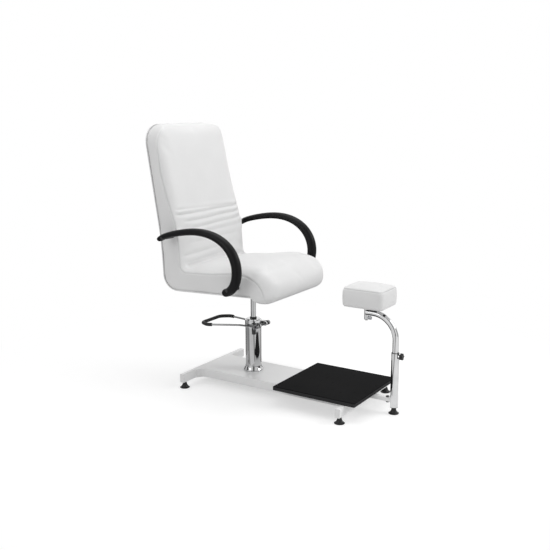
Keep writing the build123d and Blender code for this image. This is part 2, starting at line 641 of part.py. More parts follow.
def footrest_tube():
    centre_y = POLE_Y + TUBE_BEND_R
    centre_z = TUBE_AXIS_Z - TUBE_BEND_R
    middle = TUBE_BEND_R * math.sqrt(0.5)
    path = Plane.YZ * (
        Line((POLE_Y, TUBE_Z0), (POLE_Y, centre_z))
        + ThreePointArc((POLE_Y, centre_z), (centre_y - middle, centre_z + middle), (centre_y, TUBE_AXIS_Z))
        + Line((centre_y, TUBE_AXIS_Z), (SOCKET_Y, TUBE_AXIS_Z))
    )
    ring = Circle(TUBE_D / 2) - Circle(TUBE_D / 2 - TUBE_WALL)
    tube = sweep(Plane((0, POLE_Y, TUBE_Z0), z_dir=(0, 0, 1)) * ring, path)
    return tube - rod(SOCKET_D, 0, PAD_Z, 0, SOCKET_Y)


def pad_socket():
    socket = rod(SOCKET_D, SOCKET_Z0, SOCKET_TOP_Z, 0, SOCKET_Y)
    socket = chamfer(socket.edges().filter_by(GeomType.CIRCLE), 1)
    socket -= rod(POST_D + 2 * POST_RUN, SOCKET_Z0 - 1, SOCKET_TOP_Z + 1, 0, SOCKET_Y)
    socket -= rod_y(LOCK_D + 2 * STUD_RUN, SOCKET_Y - SOCKET_D, SOCKET_Y, 0, LOCK_Z)
    return socket


def lobed_knob():
    """Star knob with its axis on Z: the lobes are a ring of circles round a hub."""
    plan = Circle(KNOB_D * 0.36)
    for place in PolarLocations(KNOB_D / 2 - KNOB_D * 0.17, KNOB_LOBES):
        plan += place * Circle(KNOB_D * 0.17)
    head = extrude(plan, KNOB_T)
    head = chamfer(head.faces().sort_by(Axis.Z)[-1].edges(), 1.5)
    return head + rod(KNOB_BOSS_D, -KNOB_NECK, 0)


def clamp_parts():
    seat = POLE_Y - POLE_R - KNOB_BOSS_L - POST_GAP
    place = Pos(0, seat - KNOB_NECK, KNOB_Z) * Rot(90, 0, 0)
    tip = POLE_Y - TUBE_D / 2 - PLUNGER_GAP
    insert = 8.0
    end = seat - insert
    knob = place * lobed_knob() - rod_y(CLAMP_D, end, seat + 1, 0, KNOB_Z)
    return knob, rod_y(CLAMP_D, end, tip, 0, KNOB_Z)


def lock_screw():
    tip = SOCKET_Y - POST_D / 2 - PLUNGER_GAP
    collar = SOCKET_Y - SOCKET_D / 2 - 2
    plan = Circle(LOCK_HEAD_D / 2)
    for place in PolarLocations(LOCK_HEAD_D / 2 + 0.3, LOCK_FLUTES):
        plan -= place * Circle(1.0)
    head = chamfer(extrude(plan, LOCK_HEAD_T).faces().sort_by(Axis.Z)[-1].edges(), 0.6)
    head = Pos(0, collar, LOCK_Z) * Rot(90, 0, 0) * head
    return head + rod_y(LOCK_D, collar, tip, 0, LOCK_Z)


def leg_pad():
    plan = Pos(0, PAD_Y, PAD_Z) * RectangleRounded(PAD_W, PAD_L, PAD_CORNER_R)
    cushion = extrude(plan, PAD_H)
    cushion = fillet(cushion.faces().sort_by(Axis.Z)[-1].edges(), PAD_EDGE_R)
    board_w = PAD_W - 2 * PAD_BOARD_IN
    board_l = PAD_L - 2 * PAD_BOARD_IN
    board_plan = Pos(0, PAD_Y, PAD_Z) * RectangleRounded(board_w, board_l, PAD_CORNER_R - PAD_BOARD_IN)
    board = extrude(board_plan, PAD_BOARD_T)
    cushion -= board
    plate = extrude(Pos(0, SOCKET_Y, PAD_Z) * RectangleRounded(PAD_PLATE_W, PAD_PLATE_L, 6), -PAD_PLATE_T)
    post = plate + rod(POST_BOSS_D, SOCKET_TOP_Z + POST_GAP, PAD_Z - PAD_PLATE_T, 0, SOCKET_Y)
    post += rod(POST_D, SOCKET_Z0 - 3, SOCKET_TOP_Z + POST_GAP, 0, SOCKET_Y)
    screws = []
    dx = PAD_PLATE_W / 2 - 9
    dy = PAD_PLATE_L / 2 - 9
    under = PAD_Z - PAD_PLATE_T
    tip = PAD_Z + PAD_BOARD_T - 1
    for x, y in grid(dx, dy, SOCKET_Y):
        screws.append(rod(2 * PAD_SCREW_D, under - 2, under, x, y) + rod(PAD_SCREW_D, under, tip, x, y))
        post -= rod(PAD_SCREW_D + 2 * SCREW_FIT, under - 1, PAD_Z + 1, x, y)
        board -= rod(PAD_SCREW_D + THREAD_FIT, PAD_Z - 1, tip + 0.1, x, y)
    return post, screws, board, cushion


# ---------------------------------------------------------------- seat and back
def seat_line_z(y):
    return SEAT_Z0 - y * math.tan(math.radians(SEAT_RISE))


OUTSIDE = [
    (SEAT_FRONT_Y, seat_line_z(SEAT_FRONT_Y)),
    (BACK_FOOT_Y, seat_line_z(BACK_FOOT_Y)),
    BACK_KINK,
    BACK_TOP,
]


def inset_line(depth):
    """Corners of the seat-and-back line, moved by depth from the outside towards the sitter."""
    shifted = []
    for a, b in zip(OUTSIDE, OUTSIDE[1:]):
        length = math.dist(a, b)
        normal = (-(b[1] - a[1]) / length, (b[0] - a[0]) / length)
        offset = (normal[0] * depth, normal[1] * depth)
        shifted.append(((a[0] + offset[0], a[1] + offset[1]), (b[0] + offset[0], b[1] + offset[1])))
    corners = [shifted[0][0]]
    for (a, b), (c, d) in zip(shifted, shifted[1:]):
        ux, uy = b[0] - a[0], b[1] - a[1]
        vx, vy = d[0] - c[0], d[1] - c[1]
        t = ((c[0] - a[0]) * vy - (c[1] - a[1]) * vx) / (ux * vy - uy * vx)
        corners.append((a[0] + t * ux, a[1] + t * uy))
    corners.append(shifted[-1][1])
    return corners


def inset_radii(depth):
    return [BEND_R - depth, LUMBAR_R + depth]


def sheet(depth0, depth1, width):
    """Bent sheet between two depths, the whole way from the seat's front to the top of the back."""
    low = FilletPolyline(*inset_line(depth0), radius=inset_radii(depth0))
    high = FilletPolyline(*inset_line(depth1), radius=inset_radii(depth1))
    face = make_face(Plane.YZ * (low + Line(low @ 1, high @ 1) + high + Line(high @ 0, low @ 0)))
    return Pos(-width / 2, 0, 0) * extrude(face, width, dir=(1, 0, 0))


def back_outline(width, side_gap):
    """Tall block with rounded top corners that trims a sheet or pad to the back's front view."""
    top = BACK_TOP[1] - side_gap
    radius = BACK_CORNER_R - side_gap
    face = RectangleRounded(width, 2 * top, radius)
    return extrude(Plane.XZ * face, -1000) + extrude(Plane.XZ * face, 1000)


def cushion_section(depth):
    """Closed section of seat and back together, from the sheet at this depth to the sitter's side."""
    rear = FilletPolyline(*inset_line(depth), radius=inset_radii(depth))
    face_corners = [
        inset_line(depth)[-1],
        (FACE_TOP_Y, BACK_TOP[1]),
        FACE_KINK,
        SEAT_CREASE,
        SEAT_DIP,
        SEAT_CREST,
        (NOSE_Y, NOSE_TOP_Z),
        (NOSE_Y, NOSE_BOTTOM_Z),
        (SEAT_FRONT_Y, NOSE_BOTTOM_Z),
    ]
    radii = [0, FRONT_FACE_R, CREASE_R, DIP_R, CREST_R, NOSE_TOP_R, NOSE_BOTTOM_R]
    front = FilletPolyline(*face_corners, radius=radii)
    close = Polyline((SEAT_FRONT_Y, NOSE_BOTTOM_Z), OUTSIDE[0], inset_line(depth)[0])
    return rear, make_face(Plane.YZ * (rear + front + close))


def extrude_across(face, width):
    return Pos(-width / 2, 0, 0) * extrude(face, width, dir=(1, 0, 0))


def plywood_shell():
    return sheet(COVER_T, COVER_T + PLY_T, PLY_W) & back_outline(PLY_W, HALF_SEAT - PLY_W / 2)


def outer_covers():
    whole = sheet(0, COVER_T, SEAT_W) & back_outline(SEAT_W, 0)
    under = block(-SEAT_W, SEAT_W, SEAT_FRONT_Y - 50, COVER_SPLIT_Y, 0, BACK_KINK[1])
    return whole & under, whole - under


def cushions(ply):
    """Seat and back cushions with rounded edges; they wrap the edges of the plywood shell."""
    rear, section = cushion_section(COVER_T)
    solid = extrude_across(section, SEAT_W) & back_outline(SEAT_W, 0)
    rear_wire = Plane.YZ * rear
    rounded = []
    for edge in solid.edges():
        middle = edge @ 0.5
        behind = rear_wire.distance_to(Vector(0, middle.Y, middle.Z)) < 1
        at_side = abs(abs(middle.X) - HALF_SEAT) < 0.1
        at_top = middle.Z > BACK_TOP[1] - BACK_CORNER_R and middle.Y < FACE_TOP_Y + 0.1
        under_nose = middle.Y > SEAT_FRONT_Y - 0.1 and middle.Z < seat_line_z(SEAT_FRONT_Y) + COVER_T
        if (at_side or at_top) and not behind and not under_nose:
            rounded.append(edge)
    solid = fillet(rounded, PAD_SIDE_R)
    foot_y = SEAT_CREASE[0] - SPLIT_REACH
    split = block(-SEAT_W, SEAT_W, foot_y, 2 * BACK_TOP[0], SEAT_CREASE[1], 2 * BACK_TOP[1])
    return (solid & split) - ply, (solid - split) - ply


def seat_mount():
    """Tilted plate under the seat with an upright hub and four webs, and its bolts."""
    tilt = Pos(0, 0, SEAT_Z0) * Rot(-SEAT_RISE, 0, 0)
    hub_z = RAM_SHOULDER_Z + WASHER_T + HUB_GAP
    plate = Pos(0, PLATE_Y, -PLATE_T) * extrude(RectangleRounded(PLATE_SIZE, PLATE_SIZE, 12), PLATE_T)
    mount = rod(HUB_D, hub_z, SEAT_Z0 + 10)
    web = Plane.XZ * Polygon(
        (HUB_D / 2 - 2, hub_z + 4),
        (HUB_D / 2 + 2, hub_z + 4),
        (HUB_D / 2 + WEB_L, SEAT_Z0 - 8),
        (HUB_D / 2 + WEB_L, SEAT_Z0 + 10),
        (HUB_D / 2 - 2, SEAT_Z0 + 10),
        align=None,
    )
    for place in PolarLocations(0, 4, start_angle=45):
        mount += place * extrude(web, WEB_T / 2, both=True)
    mount -= tilt * block(-SEAT_W, SEAT_W, -SEAT_W, SEAT_W, -PLATE_T / 2, 100)
    mount += tilt * plate
    spigot_top = RAM_SHOULDER_Z + RAM_SPIGOT_H
    mount -= rod(RAM_SPIGOT_D + 2 * HUB_RUN, 0, spigot_top + HUB_GAP)
    shank = PLATE_T + COVER_T + PLY_T - 1
    bolt = Rot(180, 0, 0) * hex_bolt(SEAT_BOLT_D, shank)
    bolts = []
    holes = []
    for x, y in grid(SEAT_BOLT_X, SEAT_BOLT_X, PLATE_Y):
        bolts.append(tilt * Pos(x, y, -PLATE_T) * bolt)
        holes.append(tilt * rod(SEAT_BOLT_D + 2 * SCREW_FIT, -PLATE_T - 1, COVER_T + 0.01, x, y))
        holes.append(tilt * rod(SEAT_BOLT_D + THREAD_FIT, COVER_T, COVER_T + PLY_T - 0.9, x, y))
    return mount, bolts, holes


# ---------------------------------------------------------------- arms
def arm(side):
    """Moulded arm: ellipses of changing thickness lofted along a curved centre line."""
    path = Spline(*[(0, y, z) for (y, z), _ in ARM_LINE])
    planes = []
    for (y, z), _ in ARM_LINE:
        along = path.tangent_at(path.param_at_point((0, y, z)))
        planes.append(Plane((0, y, z), x_dir=(1, 0, 0), z_dir=along))
    sizes = [thickness for _, thickness in ARM_LINE]
    body = loft([plane * Ellipse(ARM_W / 2, size / 2) for plane, size in zip(planes, sizes)])
    for plane, size, outward in ((planes[0], sizes[0], -1), (planes[-1], sizes[-1], 1)):
        rounding = []
        for turn in ARM_END_TURNS:
            reach = outward * ARM_END * math.sin(math.radians(turn))
            shrink = math.cos(math.radians(turn))
            rounding.append(plane * Pos(0, 0, reach) * Ellipse(ARM_W / 2 * shrink, size / 2 * shrink))
        body += loft(rounding, ruled=True)
    body = Pos(side * ARM_X, 0, 0) * body
    inner = ARM_X - ARM_W / 2 + SPOT_FACE
    outer = ARM_X + ARM_W / 2
    for y, z in ARM_BOLTS:
        for diameter, x0, x1 in (
            (ARM_BOLT_D + 2 * SCREW_FIT, 0, ARM_X + ARM_W),
            (SPACER_D + 2 * FIT, 0, inner),
            (ARM_RECESS_D, outer - ARM_RECESS, outer + ARM_W),
        ):
            body -= rod_x(diameter, min(side * x0, side * x1), max(side * x0, side * x1), y, z)
    return body


def arm_fixings():
    """Spacers, bolts and hardwood blocks that hold the arms to the seat and the back."""
    _, inside = cushion_section(COVER_T + PLY_T)
    filling = extrude_across(inside, SEAT_W)
    spacers = []
    bolts = []
    blocks = []
    block_x = HALF_SEAT - BLOCK_SKIN
    head_x = ARM_X + ARM_W / 2 - ARM_RECESS
    tip_x = block_x - BLOCK_T + 4
    seat_bolt, back_bolt = ARM_BOLTS[1], ARM_BOLTS[0]
    for side in (-1, 1):
        turn = Rot(0, 0, 0) if side > 0 else Rot(0, 0, 180)
        for y, z in ARM_BOLTS:
            spacer = rod_x(SPACER_D, HALF_SEAT, ARM_X - ARM_W / 2 + SPOT_FACE, 0, z)
            spacer -= rod_x(ARM_BOLT_D + 2 * SCREW_FIT, 0, ARM_X, 0, z)
            bolt = rod_x(ARM_BOLT_D, tip_x, head_x, 0, z)
            bolt += rod_x(ARM_HEAD_D, head_x, head_x + ARM_HEAD_T, 0, z)
            spacers.append(Pos(0, y, 0) * turn * spacer)
            bolts.append(Pos(0, y, 0) * turn * bolt)
        for (y, z), reach in ((seat_bolt, (0, 60)), (back_bolt, (90, 0))):
            x0, x1 = sorted((side * block_x, side * (block_x - BLOCK_T)))
            low = z - BLOCK_H / 2 - reach[1]
            wood = block(x0, x1, y - BLOCK_REACH, y + BLOCK_REACH + reach[0], low, z + BLOCK_H / 2) & filling
            near, far = sorted((side * tip_x, side * ARM_X))
            wood -= rod_x(ARM_BOLT_D + THREAD_FIT, near, far, y, z)
            blocks.append(wood)
    return spacers, bolts, blocks


# ---------------------------------------------------------------- all the pieces
def base_pieces():
    parts["platform"], parts["platform_sides"] = platform()
    parts["rear_beam"] = cross_beam(REAR_BEAM_Y)
    parts["front_beam"] = cross_beam(FRONT_BEAM_Y)
    parts["beam_caps"] = beam_caps()
    parts["deck_board"], parts["deck_mat"], parts["deck_screws"] = deck()
    parts["backing_plate"], parts["pump_flange"], parts["pump_bolts"] = pump_base()
    parts["base_ring"] = base_ring()
    parts["pump_barrel"] = pump_barrel()
    parts["inner_cylinder"] = inner_cylinder()
    parts["pump_head"] = pump_head()
    parts["head_cap"], parts["ram_wiper"] = head_trim()
    parts["pivot_shaft"], parts["shaft_clips"] = pivot_shaft()
    parts["plunger_housing"], parts["plunger"], parts["plunger_spring"] = plunger_parts()
    parts["pole_strut"], parts["strut_bolt"] = pole_strut()
    parts["pole_tube"] = pole_tube()
    parts["pole_bush"], parts["pole_plug"] = pole_fittings()


def feet_pieces():
    spots = {
        "rear_right": (-FOOT_X, REAR_BEAM_Y),
        "rear_left": (FOOT_X, REAR_BEAM_Y),
        "front_right": (-FOOT_X, FRONT_BEAM_Y),
        "front_left": (FOOT_X, FRONT_BEAM_Y),
        "pole": (0, POLE_Y),
    }
    foot = levelling_foot()
    nuts = []
    for name, (x, y) in spots.items():
        parts["foot_" + name] = Pos(x, y, 0) * foot
        if name != "pole":
            nuts.append(Pos(x, y, BEAM_Z + BEAM_WALL) * foot_nut())
    parts["foot_nuts"] = nuts


def moving_pieces():
    parts["ram"], parts["ram_piston"], parts["thrust_washer"] = ram()
    parts["pedal_fork"], parts["pedal_sleeve"] = pedal()
    parts["footrest_tube"] = footrest_tube()
    parts["pad_socket"] = pad_socket()
    parts["clamp_knob"], parts["clamp_screw"] = clamp_parts()
    parts["pad_lock_screw"] = lock_screw()
    parts["pad_post"], parts["pad_screws"], parts["pad_board"], parts["leg_pad"] = leg_pad()


def chair_pieces():
    mount, seat_bolts, holes = seat_mount()
    ply = plywood_shell()
    under, back_cover = outer_covers()
    back_cushion, seat_cushion = cushions(ply)
    spacers, arm_bolts, blocks = arm_fixings()
    for wood in blocks:
        back_cushion -= wood
        seat_cushion -= wood
    for bolt in arm_bolts:
        back_cushion -= bolt
        seat_cushion -= bolt
    parts["seat_plate"] = mount - holes[::2]
    parts["seat_bolts"] = seat_bolts
    parts["bottom_board"] = under - holes[::2]
    parts["plywood_shell"] = ply - holes[1::2]
    parts["back_cover"] = back_cover
    parts["back_cushion"] = back_cushion
    parts["seat_cushion"] = seat_cushion
    parts["arm_right"] = arm(-1)
    parts["arm_left"] = arm(1)
    parts["arm_spacers"] = spacers
    parts["arm_bolts"] = arm_bolts
    parts["arm_blocks"] = blocks


base_pieces()
feet_pieces()
moving_pieces()
chair_pieces()
os.makedirs("parts", exist_ok=True)
for name, piece in parts.items():
    group = piece if isinstance(piece, list) else [piece]
    solids = [Pos(0, PUMP_Y, 0) * solid for member in group for solid in member.solids()]
    export_step(solids[0] if len(solids) == 1 else Compound(children=solids), f"parts/{name}.step")
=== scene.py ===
"""Dresses the pedicure chair: its upholstery, mouldings, chromed tubes, painted steel and studio."""

import json
import math
from functools import partialmethod

import bmesh
import bpy
import numpy as np
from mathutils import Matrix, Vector
from mathutils.bvhtree import BVHTree
from mathutils.kdtree import KDTree


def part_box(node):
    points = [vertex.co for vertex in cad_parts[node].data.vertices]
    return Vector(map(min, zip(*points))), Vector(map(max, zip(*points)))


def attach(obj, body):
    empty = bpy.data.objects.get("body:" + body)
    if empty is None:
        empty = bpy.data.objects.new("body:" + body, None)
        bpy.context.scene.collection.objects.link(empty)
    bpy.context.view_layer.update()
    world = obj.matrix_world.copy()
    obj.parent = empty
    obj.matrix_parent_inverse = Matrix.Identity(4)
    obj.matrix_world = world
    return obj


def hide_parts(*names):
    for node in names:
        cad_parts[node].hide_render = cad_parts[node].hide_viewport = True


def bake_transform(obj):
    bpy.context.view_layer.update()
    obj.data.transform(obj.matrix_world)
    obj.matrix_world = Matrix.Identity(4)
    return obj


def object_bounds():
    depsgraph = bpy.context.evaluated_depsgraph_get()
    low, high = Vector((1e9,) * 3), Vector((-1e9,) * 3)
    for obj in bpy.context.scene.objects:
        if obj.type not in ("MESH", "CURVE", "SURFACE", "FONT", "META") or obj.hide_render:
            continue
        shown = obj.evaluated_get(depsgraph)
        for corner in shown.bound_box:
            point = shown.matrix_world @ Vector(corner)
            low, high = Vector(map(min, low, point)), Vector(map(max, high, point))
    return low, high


bl_info = {
    "name": "Pedicure Chair Dressing",
    "version": (1, 0, 0),
    "blender": (4, 5, 0),
    "location": "View3D > Sidebar > Chair",
    "description": "Builds the upholstery, trim, finishes and studio of a pedicure chair",
    "category": "Object",
}

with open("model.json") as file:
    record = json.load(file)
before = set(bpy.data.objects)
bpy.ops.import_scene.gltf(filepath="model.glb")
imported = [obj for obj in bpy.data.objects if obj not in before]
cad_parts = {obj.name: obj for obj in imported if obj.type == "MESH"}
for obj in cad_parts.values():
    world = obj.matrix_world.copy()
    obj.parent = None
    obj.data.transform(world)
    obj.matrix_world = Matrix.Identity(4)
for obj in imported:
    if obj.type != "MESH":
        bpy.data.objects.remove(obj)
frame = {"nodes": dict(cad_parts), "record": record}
NODES = frame["nodes"]
CAD_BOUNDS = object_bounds()
MM = 0.001
MERGE = 0.01 * MM

SEAT_LO, SEAT_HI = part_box("seat_cushion")
BACK_LO, BACK_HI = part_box("back_cushion")
COVER_LO, COVER_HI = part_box("back_cover")
HALF_SEAT = SEAT_HI.x
HALF_COVER = HALF_SEAT - 2.5 * MM   # before the filling swells the cover
CREASE_Z = BACK_LO.z            # where the seat and back cushions meet
SIDE_TURN = 0.94                # how near the front panel comes to square with the side panel at its seam
TOP_CORNER = 0.095              # rounding of the back's top corners
REAR_WRAP = 0.005               # how far the front cover's side reaches round the edge of the shell
CREASE_INSET = 0.020            # from the corner of the side seam to the bottom of the seat's crease
CREASE_DEPTH = CREASE_WIDTH = 0.013
BLOCK_SPAN = 0.14               # longer than any of the arms' hardwood blocks
SEAM_STEP = 0.002               # between the points of a seam's line
STITCH_OFFSET = 0.004           # from a seam to the stitches beside it
HOLD, PAD_HOLD = 0.006, 0.004   # the filling hardly moves the cover this near to a seam
SEAM_WIDTH, PAD_SEAM_WIDTH = 0.0042, 0.0026
PAD_SEAM_SHARE = 0.45           # depth of the pad's seam against the chair's
SEAM_INSET = (0.008, 0.075)     # least and most depth of the side seam behind the face
EDGE_REACH, NOSE_REACH = 0.055, 0.010   # width of the rounding beside the side seam, and what the nose adds
EDGE_STATIONS = 0.056           # from a side of the cover, where its cross sections stand closer
TOP_POINTS = 60                 # points at the top of the rear line, where z only rises
SHELL_BEND = 0.075              # the shell's rear is straight from this far above its lowest point
BEND_CENTRE = (-0.09, 0.015)    # inside the bend, from the lower end of the straight rear
TOP_HUB = (0.035, 0.04)         # in front of and below the top of the rear, inside the rounded top edge
NOSE_MIDDLE = 0.075             # from the front of the seat to the middle of its rounded nose
NOSE_LENGTH = 0.13
NOSE_TOP_Z, NOSE_FADE = 0.60, 0.06      # the nose's wider rounding fades out over this height, up to its top
BOARD_FRONT = 0.107             # from the front of the seat to the front edge of the bottom board
PIPING_RADIUS = 0.0024
STAPLE_INSET = 0.014
PANEL_STEP = 0.012              # between the rows of the rear panel's points
PANEL_EDGE = 0.03               # width of the rear panel's rounded edge
PANEL_CROWN = 0.0045            # swell of the rear panel, and how far it sinks into the shell
PANEL_DEPTH = 0.0035
FLOOR_Z = CAD_BOUNDS[0].z


# ---------------------------------------------------------------- settings
class CHAIR_UpholsterySettings(bpy.types.PropertyGroup):
    edge_round: bpy.props.FloatProperty(
        name="Edge rounding", description="Rounding from a cushion's face to its side seam",
        default=0.030, min=0.005, max=0.08, subtype="DISTANCE", unit="LENGTH")
    voxel: bpy.props.FloatProperty(
        name="Cloth grid", description="Size of the cloth's cells before it is inflated",
        default=0.0075, min=0.003, max=0.02, subtype="DISTANCE", unit="LENGTH")
    pressure: bpy.props.FloatProperty(
        name="Filling pressure", description="How hard the filling presses on the cover",
        default=4.0, min=0.0, max=20.0)
    swell: bpy.props.FloatProperty(
        name="Largest swell", description="How far the filling may push the cover out",
        default=0.010, min=0.0, max=0.05, subtype="DISTANCE", unit="LENGTH")
    seam_depth: bpy.props.FloatProperty(
        name="Seam depth", description="How far a seam pulls the cover in",
        default=0.0035, min=0.0, max=0.02, subtype="DISTANCE", unit="LENGTH")
    pleat_depth: bpy.props.FloatProperty(
        name="Pleat depth", description="Depth of the folds across the lower back",
        default=0.0045, min=0.0, max=0.02, subtype="DISTANCE", unit="LENGTH")
    stitch_pitch: bpy.props.FloatProperty(
        name="Stitch pitch", description="Distance from one stitch to the next",
        default=0.0052, min=0.002, max=0.02, subtype="DISTANCE", unit="LENGTH")
    thread: bpy.props.FloatProperty(
        name="Thread", description="Thickness of the sewing thread",
        default=0.0009, min=0.0003, max=0.003, subtype="DISTANCE", unit="LENGTH")


class CHAIR_ColourSettings(bpy.types.PropertyGroup):
    leatherette: bpy.props.FloatVectorProperty(
        name="Leatherette", description="Colour of the seat, back and leg pad",
        subtype="COLOR", size=3, min=0, max=1, default=(0.79, 0.79, 0.79))
    paint: bpy.props.FloatVectorProperty(
        name="Base paint", description="Powder coat of the steel base",
        subtype="COLOR", size=3, min=0, max=1, default=(0.92, 0.92, 0.92))
    moulding: bpy.props.FloatVectorProperty(
        name="Arm moulding", description="Colour of the moulded arms",
        subtype="COLOR", size=3, min=0, max=1, default=(0.004, 0.004, 0.0045))
    plastic: bpy.props.FloatVectorProperty(
        name="Plastic", description="Colour of the feet, knobs and bushes",
        subtype="COLOR", size=3, min=0, max=1, default=(0.006, 0.006, 0.0065))
    mat: bpy.props.FloatVectorProperty(
        name="Deck mat", description="Colour of the mat on the foot deck",
        subtype="COLOR", size=3, min=0, max=1, default=(0.004, 0.004, 0.0045))


class CHAIR_SpringSettings(bpy.types.PropertyGroup):
    turns: bpy.props.IntProperty(
        name="Turns", description="Turns of the plunger's spring", default=5, min=2)
    wire: bpy.props.FloatProperty(
        name="Wire", description="Thickness of the spring's wire", default=0.0012, min=0.0005,
        subtype="DISTANCE", unit="LENGTH")


class CHAIR_StageSettings(bpy.types.PropertyGroup):
    azimuth: bpy.props.FloatProperty(
        name="Camera azimuth", description="Bearing of the camera's view, from +Y",
        default=math.radians(-57.45), subtype="ANGLE", unit="ROTATION")
    pitch: bpy.props.FloatProperty(
        name="Camera pitch", description="How far the camera looks down",
        default=math.radians(11.9), subtype="ANGLE", unit="ROTATION")
    place: bpy.props.FloatVectorProperty(
        name="Camera place", description="Where the camera stands",
        default=(-3.1170, -1.9392, 1.3279), subtype="TRANSLATION", unit="LENGTH")
    lens: bpy.props.FloatProperty(
        name="Lens", description="Focal length of the camera, on a 36 mm sensor",
        default=53.37, subtype="DISTANCE_CAMERA")
    key_power: bpy.props.FloatProperty(
        name="Key light", description="Power of the large softbox in front", default=52.0, min=0.0)
    fill_power: bpy.props.FloatProperty(
        name="Fill light", description="Power of the softbox at the side", default=11.0, min=0.0)
    top_power: bpy.props.FloatProperty(
        name="Top light", description="Power of the softbox overhead", default=28.0, min=0.0)
    ambient: bpy.props.FloatProperty(
        name="Ambient", description="Strength of the light from all round", default=0.60, min=0.0)


def upholstery_settings():
    return bpy.context.scene.chair_upholstery


def colour_of(name):
    return tuple(getattr(bpy.context.scene.chair_colours, name))


# ---------------------------------------------------------------- shader writing
class Value:
    """A node socket that can be used in Python expressions; each operation adds a Math node."""

    def __init__(self, shader, socket):
        self.shader = shader
        self.socket = socket

    def math(self, operation, *others):
        return self.shader.add("Math", {"operation": operation}, sockets=(self, *others))

    __add__ = __radd__ = partialmethod(math, "ADD")
    __mul__ = __rmul__ = partialmethod(math, "MULTIPLY")
    __sub__ = partialmethod(math, "SUBTRACT")
    __truediv__ = partialmethod(math, "DIVIDE")

    def __rsub__(self, other):
        return self * -1.0 + other

    def clamped(self):
        return self.math("MAXIMUM", 0.0).math("MINIMUM", 1.0)

    def smooth(self, low, high):
        """0 below low and 1 above high, with a smooth rise between."""
        rise = {"interpolation_type": "SMOOTHSTEP"}
        return self.shader.add("MapRange", rise, Value=self, From_Min=low, From_Max=high)


def configure(item, settings):
    """Gives a node, a modifier or its settings their values by name."""
    for key, value in settings.items():
        if key == "stops":
            set_stops(item.color_ramp, value)
        else:
            setattr(item, key, value)
    return item


def set_stops(ramp, stops):
    """Gives a colour ramp its greys, each at its place."""
    while len(ramp.elements) < len(stops):
        ramp.elements.new(0.5)
    for element, (place, tone) in zip(ramp.elements, stops):
        element.position = place
        element.color = (tone, tone, tone, 1)


class Shader:
    """A material or a world, with short ways to add and wire its nodes."""

    def __init__(self, name, world=None):
        self.material = world or bpy.data.materials.new(name)
        self.material.use_nodes = True
        tree = self.material.node_tree
        self.nodes = tree.nodes
        self.links = tree.links
        self.main = self.nodes.get("Principled BSDF")

    def feed(self, slot, value):
        if isinstance(value, Value):
            self.links.new(value.socket, slot)
        else:
            slot.default_value = value

    def add(self, kind, settings=None, output=0, sockets=(), **inputs):
        """Adds a node: its settings first, then its sockets, in order or by name. Returns one output."""
        node = configure(self.nodes.new("ShaderNode" + kind), settings or {})
        for slot, value in zip(node.inputs, sockets):
            self.feed(slot, value)
        for key, value in inputs.items():
            self.feed(node.inputs[key.replace("_", " ")], value)
        return Value(self, node.outputs[output]) if len(node.outputs) else None

    def place(self, stretch=(1, 1, 1), turn=(0, 0, 0)):
        """Object coordinates in metres, stretched or turned."""
        here = self.add("TexCoord", output="Object")
        return self.add("Mapping", Vector=here, Scale=stretch, Rotation=turn)

    def noise(self, scale, detail=3.0, roughness=0.5, at=None):
        at = at or self.place()
        return self.add("TexNoise", Vector=at, Scale=scale, Detail=detail, Roughness=roughness)

    def cells(self, scale, feature="F1", at=None):
        at = at or self.place()
        return self.add("TexVoronoi", {"feature": feature}, Vector=at, Scale=scale)

    def bands(self, direction, scale, distortion=0.0):
        settings = {"wave_type": "BANDS", "bands_direction": direction}
        return self.add("TexWave", settings, Vector=self.place(), Scale=scale, Distortion=distortion)

    def attribute(self, name):
        return self.add("Attribute", {"attribute_name": name}, output="Fac")

    def upward(self):
        """How far a face looks up, from -1 to 1."""
        return self.add("SeparateXYZ", output="Z", Vector=self.add("NewGeometry", output="True Normal"))

    def bearing_flags(self, direction, stops):
        """A ramp of greys round the compass, for shiny pieces to mirror."""
        x, y = (self.add("SeparateXYZ", output=axis, Vector=direction) for axis in "XY")
        share = y.math("ARCTAN2", x) / (2 * math.pi) + 0.5
        return self.add("ValToRGB", {"stops": stops}, output="Color", Fac=share)

    def by_ray(self, kind, other, wanted):
        """Shows one shader to rays of a kind, and another to all the rest."""
        return self.add("MixShader", sockets=(self.add("LightPath", output=kind), other, wanted))

    def blend(self, factor, first, second):
        """Colour mix: first where factor is 0."""
        node = configure(self.nodes.new("ShaderNodeMix"), {"data_type": "RGBA"})
        slots = {slot.identifier: slot for slot in (*node.inputs, *node.outputs)}
        for name, value in (("Factor_Float", factor), ("A_Color", first), ("B_Color", second)):
            self.feed(slots[name], (*value, 1.0) if isinstance(value, tuple) else value)
        return Value(self, slots["Result_Color"])

    def bump(self, height, distance, strength=1.0, normal=None):
        inputs = {"Height": height, "Distance": distance, "Strength": strength}
        if normal is not None:
            inputs["Normal"] = normal
        return self.add("Bump", **inputs)

    def set(self, **inputs):
        """Feeds the Principled shader's sockets."""
        for key, value in inputs.items():
            self.feed(self.main.inputs[key.replace("_", " ")], value)


def shade(colour, factor):
    return tuple(min(1.0, c * factor) for c in colour)


